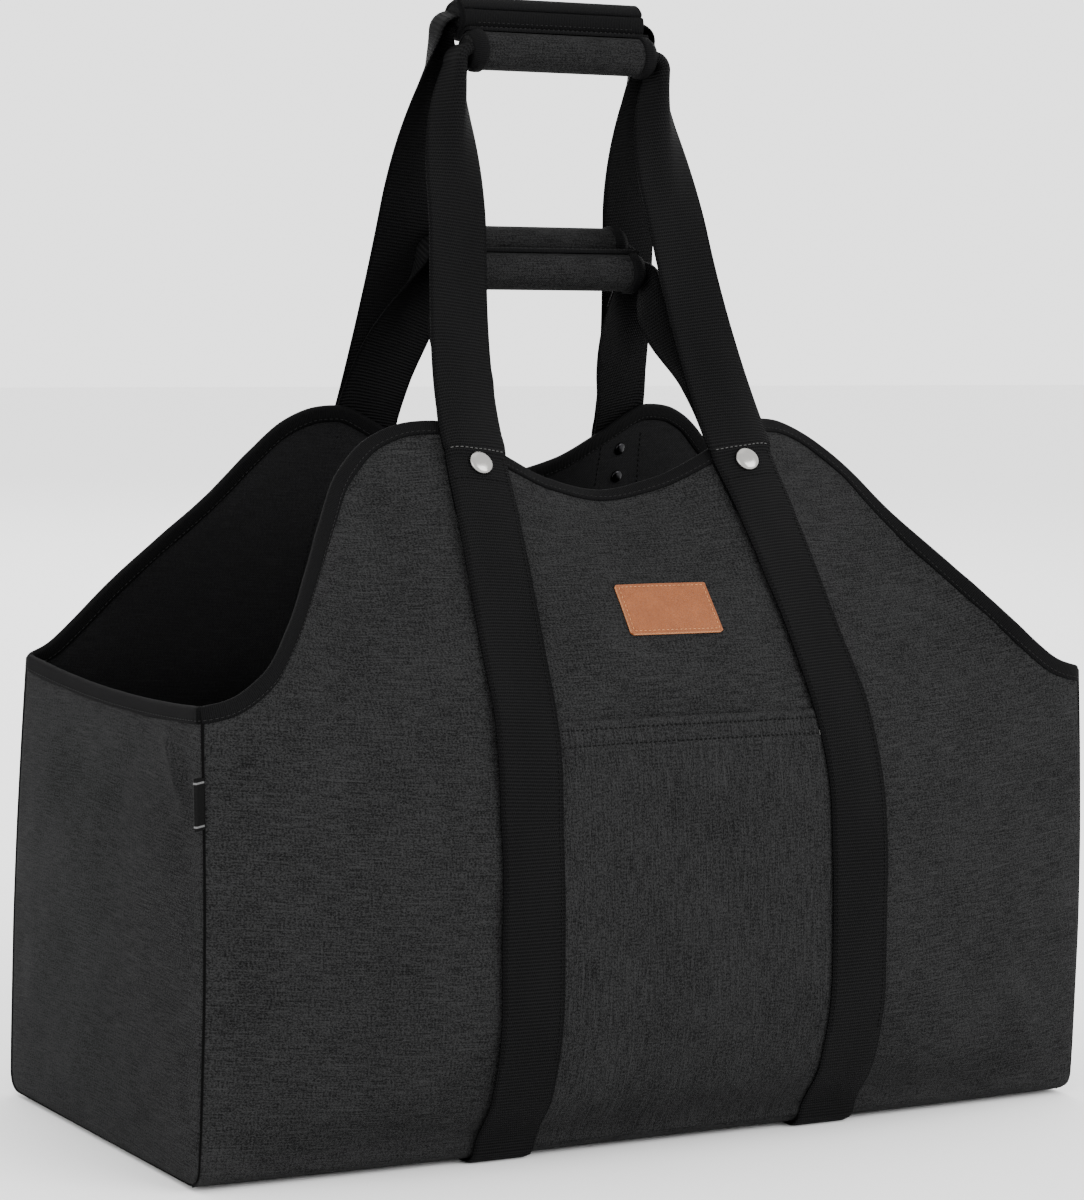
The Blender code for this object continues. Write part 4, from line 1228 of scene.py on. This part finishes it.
def filled(made, held, frames=20):
    """Runs Blender's cloth with air pressure inside the closed mesh, with some points held, and
    puts the result into the mesh. It runs ten times life size, where the solver's fixed
    tolerances are small beside the piece."""
    group = made.vertex_groups.new(name="held")
    group.add([int(number) for number in held], 1.0, "REPLACE")
    made.data.transform(Matrix.Scale(SIM_SCALE, 4))
    cloth = made.modifiers.new("fill", "CLOTH")
    cloth.settings.vertex_group_mass = "held"
    cloth.settings.quality = 6
    cloth.settings.mass = 0.15
    cloth.settings.tension_stiffness = 25
    cloth.settings.compression_stiffness = 25
    cloth.settings.bending_stiffness = 0.5
    cloth.settings.use_pressure = True
    cloth.settings.uniform_pressure_force = 6.0
    cloth.settings.effector_weights.gravity = 0
    cloth.point_cache.frame_start = 1
    cloth.point_cache.frame_end = frames
    for number in range(1, frames + 1):
        bpy.context.scene.frame_set(number)
    graph = bpy.context.evaluated_depsgraph_get()
    done = bpy.data.meshes.new_from_object(made.evaluated_get(graph))
    co = np.empty(len(done.vertices) * 3)
    done.vertices.foreach_get("co", co)
    made.modifiers.remove(cloth)
    made.vertex_groups.remove(group)
    bpy.data.meshes.remove(done)
    bpy.context.scene.frame_set(1)
    return co.reshape(-1, 3) / SIM_SCALE


def build_roll(name, node):
    place, angle, _ = GRIPS[node]
    start = roll_points(place, angle, GRIP_RADIUS - 0.0012)
    rows = len(start)
    uv = np.stack([start[..., 0], np.repeat(np.linspace(0, 0.076, AROUND)[None], rows, axis=0)],
                  axis=-1)
    made = ring_mesh(name, start, False, uv)
    number = np.arange(rows * AROUND).reshape(rows, AROUND)
    held = np.concatenate([number[:2].ravel(), number[-2:].ravel(), number[:, 0]])
    blown = filled(made, np.unique(held))
    move = blown - start.reshape(-1, 3)
    size = np.linalg.norm(move, axis=1, keepdims=True)
    move *= np.minimum(1.0, 0.0016 / np.maximum(size, 1e-9))
    made.data.vertices.foreach_set("co", (start.reshape(-1, 3) + move).ravel())
    made.data.update()
    print(name, "filled out by up to", round(float(size.max()) * 1000, 2), "mm")
    dress(made, (canvas_grip_shaded,), node)


for grip_node in GRIPS:
    build_roll(grip_node.replace("grip", "roll"), grip_node)

# %% Bound edges and end bands of the grips
BAND = 0.0085


def strip_round(x, place, angles, radius, thickness):
    """A strip on a roll: a grid of distances along it and angles round it, as closed sections
    across the strip."""
    x, angles = np.meshgrid(x, angles, indexing="ij")
    shape = np.sqrt(np.clip(1 - np.linspace(-1, 1, x.shape[1]) ** 8, 0, 1))

    def at(r):
        return np.stack([x, place[0] + r * np.cos(angles), place[1] + r * np.sin(angles)], -1)

    outside = at(radius + thickness * (0.35 + 0.65 * shape))
    return outside, at(radius - 0.0004 + 0 * x)


def build_trim(name, node):
    """Two bands round the roll's ends and two edge strips side by side along its closing."""
    place, angle, width = GRIPS[node]
    half = GRIP_LENGTH / 2
    pieces = []
    for sign in (-1, 1):
        x = sign * np.linspace(half + 0.0004, half - BAND, 10)
        turn = np.linspace(0, 2 * np.pi, 49)[:-1]
        x_grid, turn_grid = np.meshgrid(x, turn, indexing="ij")
        crown = np.sqrt(np.clip(1 - np.linspace(-1, 1, len(x)) ** 6, 0, 1))[:, None]
        r = GRIP_RADIUS - 0.0006 + 0.0008 * crown
        r = r * (1 - 0.16 * np.exp(-((half - np.abs(x_grid)) / 0.0022) ** 2))
        skin = np.stack([x_grid, place[0] + r * np.cos(turn_grid),
                         place[1] + r * np.sin(turn_grid)], axis=-1)
        bore = 0.0085
        ends = [np.stack([x_grid[[k]], place[0] + bore * np.cos(turn_grid[[k]]),
                          place[1] + bore * np.sin(turn_grid[[k]])], axis=-1) for k in (-1, 0)]
        pieces.append(np.concatenate([ends[1], skin, ends[0]]).transpose(1, 0, 2))
    bands = len(pieces)
    for sign in (-1, 1):
        centre = angle + sign * (width / 2 + 0.0002) / GRIP_RADIUS
        angles = centre + np.linspace(-0.5, 0.5, 13) * width / GRIP_RADIUS
        x = np.linspace(-half + 0.001, half - 0.001, 60)
        outside, inside = strip_round(x, place, angles, GRIP_RADIUS - 0.0003, 0.0016)
        pieces.append(np.concatenate([outside, inside[:, ::-1]], axis=1))
    for number, sections in enumerate(pieces):
        uv = section_uv(sections, run_length(sections.mean(axis=1)))
        dress(ring_mesh(f"{name}_{number}", sections, number < bands, uv), (tape,))


for grip_node in GRIPS:
    build_trim(grip_node.replace("grip", "grip_tape"), grip_node)

# %% [markdown]
# ## Rivets
# Two rivets fasten each strap. Outside, a polished cap is a shallow dome with a soft edge;
# inside, a small dark burr closes the post. Each is a profile turned about an axis that stands
# square to the cloth.

# %% Rivets
def metal_build(wire):
    """Faint brushing and finger marks in the roughness."""
    place = wire.node("TexCoord", None, None, output=3)
    marks = noise(wire, place, 260.0, 4.0)
    return {"Roughness": 0.14 + 0.16 * marks}


nickel = finish_of("polished_nickel", (0.26, 0.255, 0.245), 0.25, metal_build, metallic=1.0)
dark_metal = finish_of("blackened_burr", (0.016, 0.016, 0.017), 0.35, metal_build, metallic=1.0)


def rivet_spot(wall, drop, sign):
    level = wall.level_below_rim(STRAP_RIM_X, drop)
    x = strap_centre(wall, level)
    around = 0.007
    along = wall.at(x + around, level)[0] - wall.at(x - around, level)[0]
    up = wall.at(x, level + 0.2)[0] - wall.at(x, level - 0.2)[0]
    normal = unit(np.cross(along, up))
    normal = normal * np.sign(normal[1]) * wall.side
    mirror = np.array([sign, 1.0, 1.0])
    return wall.at(x, level)[0] * mirror, normal * mirror


def turned(name, spot, profile, sides=40):
    """A profile of radii and heights turned about the axis at a spot. Its first and last radius
    are next to nothing and are closed by a small face."""
    centre, axis = spot
    across = unit(np.cross(np.array([0.0, 0.0, 1.0]), axis))
    up = np.cross(axis, across)
    angle = np.linspace(0, 2 * np.pi, sides, endpoint=False)
    circle = np.cos(angle)[:, None] * across + np.sin(angle)[:, None] * up
    radius, height = np.array(profile).T
    sections = centre + height[:, None, None] * axis + radius[:, None, None] * circle
    return ring_mesh(name, sections, False)


def dome(radius, low, rise, edge):
    """Radii and heights of a cap: a rolled edge, then a shallow dome."""
    t = np.linspace(0, 1, 14)
    rolled = [(radius * 0.9, low), (radius * 0.98, low + edge * 0.3), (radius, low + edge)]
    crown = [(radius * 0.985 * math.cos(a) ** 0.9,
              low + edge + (rise - edge) * math.sin(a) ** 0.85)
             for a in t * math.pi / 2 * 0.995]
    return rolled + crown[1:]


BURR_FOOT = [(0.0003, -0.0002), (0.0034, -0.0002)]
for wall, face in ((front_wall, "front"), (back_wall, "back")):
    for sign, hand in ((-1, "left"), (1, "right")):
        spot = rivet_spot(wall, RIVET_DROP, sign)
        seat = float(short_stand(RIVET_DROP)) + 2 * WEBBING + LAYER_GAP
        profile = [(0.0003, -CANVAS), (0.0022, -CANVAS), (0.0022, seat), (0.0050, seat)]
        cap = turned(f"cap_{face}_{hand}", spot, profile + dome(0.00725, seat, 0.0032, 0.0009))
        dress(cap, (nickel,), f"cap_rivet_{face}_{hand}")
        low_spot = rivet_spot(wall, RIVET_DROP + RIVET_PITCH, sign)
        post = [(0.0003, -CANVAS), (0.0022, -CANVAS), (0.0022, 0.0018), (0.0003, 0.0019)]
        low = turned(f"post_{face}_{hand}", low_spot, post)
        dress(low, (dark_metal,), f"lower_rivet_{face}_{hand}")
        for number, (centre, axis) in enumerate((spot, low_spot)):
            burr = turned(f"burr_{face}_{hand}_{number}", (centre - axis * CANVAS, -axis),
                          BURR_FOOT + dome(0.0040, 0.0, 0.0020, 0.0005))
            dress(burr, (dark_metal,))

# %% [markdown]
# ## Side tab
# A short folded tape is caught in the corner seam. It leaves the seam, turns back on itself and
# returns, so it is a narrow loop seen end on. Two pale lines are woven in near its ends.

# %% Side tab
TAB_LENGTH = 0.010
TAB_HEIGHT = 0.027
TAB_CENTRE = 0.207
TAB_LINE = 0.0022
TAB_FOLD = 0.0009
TAB_SUNK = 0.0012


def tab_build(wire):
    """Black tape with pale lines near the top and bottom edge and fine ribs."""
    u, v = cloth_place(wire)
    rib = (u * (2 * math.pi / 0.0009)).sine()
    from_end = 0.5 * TAB_HEIGHT - abs(v)
    line = 1 - abs(from_end - TAB_LINE).step(0.0003, 0.0007)
    fuzz = noise(wire, join(u * 900, v * 900), 1.0, 3.0)
    dark = blend_colour(fuzz, (0.0012, 0.0012, 0.0012, 1.0), (0.0045, 0.0045, 0.0045, 1.0))
    colour = blend_colour(line, dark, (0.10, 0.10, 0.10, 1.0))
    return {"Base Color": colour, "height": rib + fuzz, "relief": 0.0001}


def build_tab():
    """A loop in the level plane: out from the seam, half round, and back, for each height."""
    heights = np.linspace(-0.5, 0.5, 24) * TAB_HEIGHT
    level = front_wall.level_of_height(-HALF_LENGTH, TAB_CENTRE + heights)
    seam = front_wall.at(-HALF_LENGTH, level)[0]
    run = TAB_LENGTH - 0.0026
    turn = np.linspace(0, np.pi, 9)
    out = np.concatenate([np.linspace(0, run, 10), run + TAB_FOLD * np.sin(turn),
                          np.linspace(run, 0, 10)])
    lift = np.concatenate([np.full(10, TAB_FOLD), TAB_FOLD * np.cos(turn), np.full(10, -TAB_FOLD)])
    lift = lift * (0.55 + 0.45 * out / run) + 0.0006 * (out / run) ** 2
    away = unit(np.array([-0.90, -0.42, 0.0]))
    beside = np.array([-away[1], away[0], 0.0])
    middle = (seam[:, None] + (out - TAB_SUNK)[None, :, None] * away
              + lift[None, :, None] * beside)
    along = unit(np.gradient(middle, axis=1))
    away = unit(np.cross(along, np.array([0.0, 0.0, 1.0])))
    shape = middle.shape[:2]
    uv = np.stack([np.broadcast_to(out, shape), np.broadcast_to(heights[:, None], shape)], -1)
    return shell("seam_tab", middle + 0.0003 * away, middle - 0.0003 * away, uv)


tab_tape = finish_of("tab_tape", (0.006, 0.006, 0.006), 0.6, tab_build,
                     Specular_IOR_Level=0.04)
dress(build_tab(), (tab_tape, tab_tape), "side_tab")

# %% [markdown]
# ## Stitches
# Stitching is what makes cloth look sewn, so every row is real thread: one short bent bead for
# each stitch, sunk at both ends. A row takes a path and the cloth's normals, places beads at
# equal distances and puts them all into one mesh.

# %% Stitch rows
BEAD_RINGS = 5
BEAD_SIDES = 6


def beads(path, normals, length, pitch, radius):
    """Points and faces of a row of stitches. A bead's section is a circle that shrinks towards
    both ends by the fourth power of the distance from its middle, and the bead's middle line
    sinks there by the square."""
    numbers, _ = resample(path, pitch)
    numbers = (numbers[1:] + numbers[:-1]) / 2
    centre = read_at(path, numbers)
    tangent = unit(read_at(np.gradient(path, axis=0), numbers))
    normal = unit(read_at(normals, numbers))
    side = unit(np.cross(tangent, normal))
    s = np.linspace(-1, 1, BEAD_RINGS)
    thick = radius * np.sqrt(np.clip(1.05 - s ** 4, 0.05, 1))
    rise = radius * (1 - 1.6 * s ** 2)
    angle = np.linspace(0, 2 * np.pi, BEAD_SIDES, endpoint=False)
    along = (s * length / 2)[None, :, None, None] * tangent[:, None, None]
    lift = rise[None, :, None] + thick[:, None] * np.sin(angle)
    lift = lift[..., None] * normal[:, None, None]
    aside = (thick[:, None] * np.cos(angle))[None, ..., None] * side[:, None, None]
    points = centre[:, None, None] + along + lift + aside
    one = np.arange(BEAD_RINGS * BEAD_SIDES).reshape(BEAD_RINGS, BEAD_SIDES)
    quads = cell_faces(np.concatenate([one, one[:, :1]], axis=1))
    return points, quads, [one[0, ::-1], one[-1]]


def thread_mesh(name, rows, material):
    """All rows of one thread as one mesh."""
    points, faces, first = [], [], 0
    count = BEAD_RINGS * BEAD_SIDES
    for row in rows:
        beads_points, quads, caps = beads(*row)
        starts = first + count * np.arange(len(beads_points))
        faces += (starts[:, None, None] + quads).reshape(-1, 4).tolist()
        for cap in caps:
            faces += (starts[:, None] + cap).tolist()
        points.append(beads_points.reshape(-1, 3))
        first += beads_points.size // 3
    dress(add_mesh(name, np.concatenate(points), faces), (material,))
    print(name, first // count, "stitches")


def thread_finish(name, colour):
    def build(wire):
        place = wire.node("TexCoord", None, None, output=3)
        twist = noise(wire, place, 2600.0, 2.0)
        low = tuple(0.7 * part for part in colour)
        return {"Base Color": blend_colour(twist, (*low, 1.0), (*colour, 1.0))}
    return finish_of(name, colour, 0.6, build, Specular_IOR_Level=0.05)


# Near-black, darker than the darkest canvas thread, so the beads also stand for the shade in the
# stitch holes: partly the thread's own black, partly painted shade.
black_thread_and_hole_shade = thread_finish("black_thread_and_hole_shade", (0.0020, 0.0020, 0.0020))
grey_thread = thread_finish("grey_thread", (0.070, 0.070, 0.068))
dark_thread = thread_finish("dark_thread", (0.014, 0.014, 0.014))
tan_thread = thread_finish("tan_thread", (0.44, 0.21, 0.10))

# %% Rows on body and straps
def strap_edge_row(node, sign, share, first_drop, last_drop, inside):
    """A row down a strap on the wall, a share of the width from its middle line."""
    side = HANDLES[node][0]
    wall = wall_of(side)
    low = wall.level_below_rim(STRAP_RIM_X, first_drop)
    high = wall.level_below_rim(STRAP_RIM_X, last_drop)
    levels = np.linspace(low, high, 160)
    x, raised = square_to_strap(wall, levels, np.full((160, 1), share * WEBBING_WIDTH))
    point, normal = (part[:, 0] * np.array([sign, 1.0, 1.0]) for part in wall.at(x, raised))
    if inside:
        return point - (CANVAS + 0.0001) * normal, -normal
    drops = np.linspace(first_drop, last_drop, 160)
    stand = long_stand(drops, side < 0) + WEBBING
    return point + stand[:, None] * normal, normal


def across_row(node, sign, drop):
    """A row across a strap at a distance below the rim."""
    wall = wall_of(HANDLES[node][0])
    level = wall.level_below_rim(STRAP_RIM_X, drop)
    across = np.linspace(-0.44, 0.44, 30) * WEBBING_WIDTH
    x, raised = square_to_strap(wall, np.array([level]), across[None])
    point, normal = (part[0] * np.array([sign, 1.0, 1.0]) for part in wall.at(x, raised))
    return point + (float(long_stand(np.array(drop), wall.side < 0)) + WEBBING) * normal, normal


black_rows, grey_rows, edge_rows = [], [], []
for node in ("long_strap_front", "long_strap_back"):
    for sign in (-1, 1):
        for share in (-0.43, 0.43):
            for inside in (False, True):
                row = strap_edge_row(node, sign, share, 0.36, 0.010, inside)
                black_rows.append((*row, 0.0024, 0.0034, 0.00024))
        grey_rows.append((*across_row(node, sign, 0.0105), 0.0022, 0.0031, 0.00028))
        black_rows.append((*across_row(node, sign, 0.030), 0.0022, 0.0031, 0.00024))

for sign in (1, -1):
    leg = CANVAS / 2 + TAPE + 0.0004
    path = (rim_path - rim_out * CANVAS / 2 + sign * rim_out * leg
            + rim_down * (TAPE_LEG - 0.0018))
    closed_path = np.concatenate([path, path[:1]])
    closed_out = np.concatenate([rim_out, rim_out[:1]]) * sign
    edge_rows.append((closed_path, closed_out, 0.0022, 0.0032, 0.00022))


def pocket_row(below):
    """A row along the pocket's hem, on the hem's own thickness."""
    edge = STRAP_BASE_X - WEBBING_WIDTH / 2
    x = np.linspace(-edge, edge, 140)
    level = front_wall.level_of_height(0.0, POCKET_HEIGHT - below)
    point, normal = front_wall.at(x, level)
    free = pocket_freedom(x)
    stand = (CLOTH_GAP + POCKET_GAPE * free * ease(1 - below / GAPE_DEPTH)
             + 0.7 * POCKET_CLOTH)
    return point + (stand + 0.0006 * free ** 0.25)[:, None] * normal, normal


def pocket_tack(below):
    """A short dense row down the hem by the right strap, which locks a row's end."""
    x = STRAP_BASE_X - WEBBING_WIDTH / 2 - 0.0030
    drops = np.linspace(below - 0.0016, below + 0.0010, 8)
    level = front_wall.level_of_height(x, POCKET_HEIGHT - drops)
    point, normal = front_wall.at(x, level)
    return point + (CLOTH_GAP + 0.7 * POCKET_CLOTH + 0.0007) * normal, normal


for below in HEM_ROWS:
    black_rows.append((*pocket_row(below), 0.0020, 0.0030, 0.00034))
    grey_rows.append((*pocket_tack(below), 0.0012, 0.0009, 0.00030))

thread_mesh("thread_black", black_rows, black_thread_and_hole_shade)
thread_mesh("thread_grey", grey_rows, grey_thread)
thread_mesh("thread_rim", edge_rows, dark_thread)

# %% Rows on the patch and the grips
def patch_row():
    """The rounded rectangle again, one seam allowance inside the edge."""
    half = np.array([PATCH_LENGTH, PATCH_HEIGHT]) / 2 - PATCH_SEAM
    corner = 0.0008
    turn = np.linspace(0, np.pi / 2, 6)
    outline = []
    for k, (sx, sy) in enumerate(((1, 1), (-1, 1), (-1, -1), (1, -1))):
        angle = turn + k * np.pi / 2
        outline.append(np.stack([sx * (half[0] - corner) + corner * np.cos(angle),
                                 sy * (half[1] - corner) + corner * np.sin(angle)], axis=1))
    outline = np.concatenate(outline + [outline[0][:1]])
    numbers, _ = resample(outline, 0.0008)
    across, up = read_at(outline, numbers).T
    point, normal = front_wall.at(PATCH_X + across, patch_levels(across, up))
    return point + (PATCH_LIFT + PATCH_LEATHER - 0.0003) * normal, normal


thread_mesh("thread_tan", [(*patch_row(), 0.0020, 0.0029, 0.00022)], tan_thread)


def grip_row(node, sign):
    """A row along each bound edge of a grip's closing."""
    place, angle, width = GRIPS[node]
    turn = angle + sign * width * 0.70 / GRIP_RADIUS
    x = np.linspace(-GRIP_LENGTH / 2 + BAND, GRIP_LENGTH / 2 - BAND, 60)
    normal = np.array([0.0, math.cos(turn), math.sin(turn)]) + 0 * x[:, None]
    centre = np.stack([x, place[0] + 0 * x, place[1] + 0 * x], axis=1)
    return centre + (GRIP_RADIUS + 0.0012) * normal, normal


grip_rows = [(*grip_row(node, sign), 0.0021, 0.0032, 0.00024)
             for node in GRIPS for sign in (-1, 1)]
thread_mesh("thread_grips", grip_rows, dark_thread)

# %% [markdown]
# ## Stage, light and camera
# A dark matt object shows its weave only under broad light. Large soft lamps stand left, right
# and above, and the pale floor and surroundings fill the shadows. The camera stands where the
# photograph's stood, found by fitting the bag's corners: far off, with a long lens, turned a
# little about its own axis.

# %% Floor
def floor_build(wire):
    """Plain pale paint with the faintest mottle."""
    place = wire.node("TexCoord", None, None, output=3)
    mottle = noise(wire, place, 3.0, 2.0)
    return {"Roughness": 0.75 + 0.1 * mottle}


floor_mesh = bpy.data.meshes.new("floor")
reach = 6.0
floor_mesh.from_pydata([(-reach, -reach, 0), (reach, -reach, 0), (reach, reach, 0),
                        (-reach, reach, 0)], [], [(0, 1, 2, 3)])
floor = bpy.data.objects.new("floor", floor_mesh)
bpy.context.scene.collection.objects.link(floor)
floor.data.materials.append(finish_of("pale_floor", (0.86, 0.86, 0.86), 0.8, floor_build))

# %% Lights
def lamp(name, place, target, size, power):
    light = bpy.data.lights.new(name, "AREA")
    light.shape = "RECTANGLE"
    light.size, light.size_y = size
    light.energy = power
    made = bpy.data.objects.new(name, light)
    bpy.context.scene.collection.objects.link(made)
    made.location = place
    made.rotation_euler = (Vector(target) - Vector(place)).to_track_quat("-Z", "Y").to_euler()


lamp("key_light", (1.6, -2.8, 1.8), (0, 0, 0.25), (2.4, 2.0), 100)
lamp("fill_light", (-3.2, -1.4, 1.2), (0, 0, 0.25), (2.2, 2.2), 42)
lamp("top_light", (0.2, 0.4, 3.2), (0, 0, 0.3), (2.6, 2.0), 10)
lamp("back_light", (0.8, 3.0, 2.0), (0, 0, 0.3), (2.4, 1.6), 45)

world = bpy.data.worlds.new("studio")
bpy.context.scene.world = world
world.use_nodes = True
world.node_tree.nodes["Background"].inputs["Color"].default_value = (1.0, 1.0, 1.0, 1.0)
world.node_tree.nodes["Background"].inputs["Strength"].default_value = 2.4

# %% Camera
CAMERA_PLACE = Vector((-1.2026, -1.9609, 0.5515))
AZIMUTH = math.radians(-30.6)
ELEVATION = math.radians(6.594)
ROLL = 0.0327

forward = Vector((-math.sin(AZIMUTH) * math.cos(ELEVATION),
                  math.cos(AZIMUTH) * math.cos(ELEVATION), -math.sin(ELEVATION)))
level_right = forward.cross(Vector((0, 0, 1))).normalized()
level_up = level_right.cross(forward)
right = level_right * math.cos(ROLL) + level_up * math.sin(ROLL)
up = level_up * math.cos(ROLL) - level_right * math.sin(ROLL)
camera = bpy.data.objects.new("camera", bpy.data.cameras.new("camera"))
bpy.context.scene.collection.objects.link(camera)
camera.matrix_world = Matrix((
    (right.x, up.x, -forward.x, CAMERA_PLACE.x),
    (right.y, up.y, -forward.y, CAMERA_PLACE.y),
    (right.z, up.z, -forward.z, CAMERA_PLACE.z),
    (0, 0, 0, 1)))
camera.data.lens = 120
camera.data.sensor_width = 36
camera.data.shift_x = 0.0334
camera.data.shift_y = 0.00715
bpy.context.scene.camera = camera
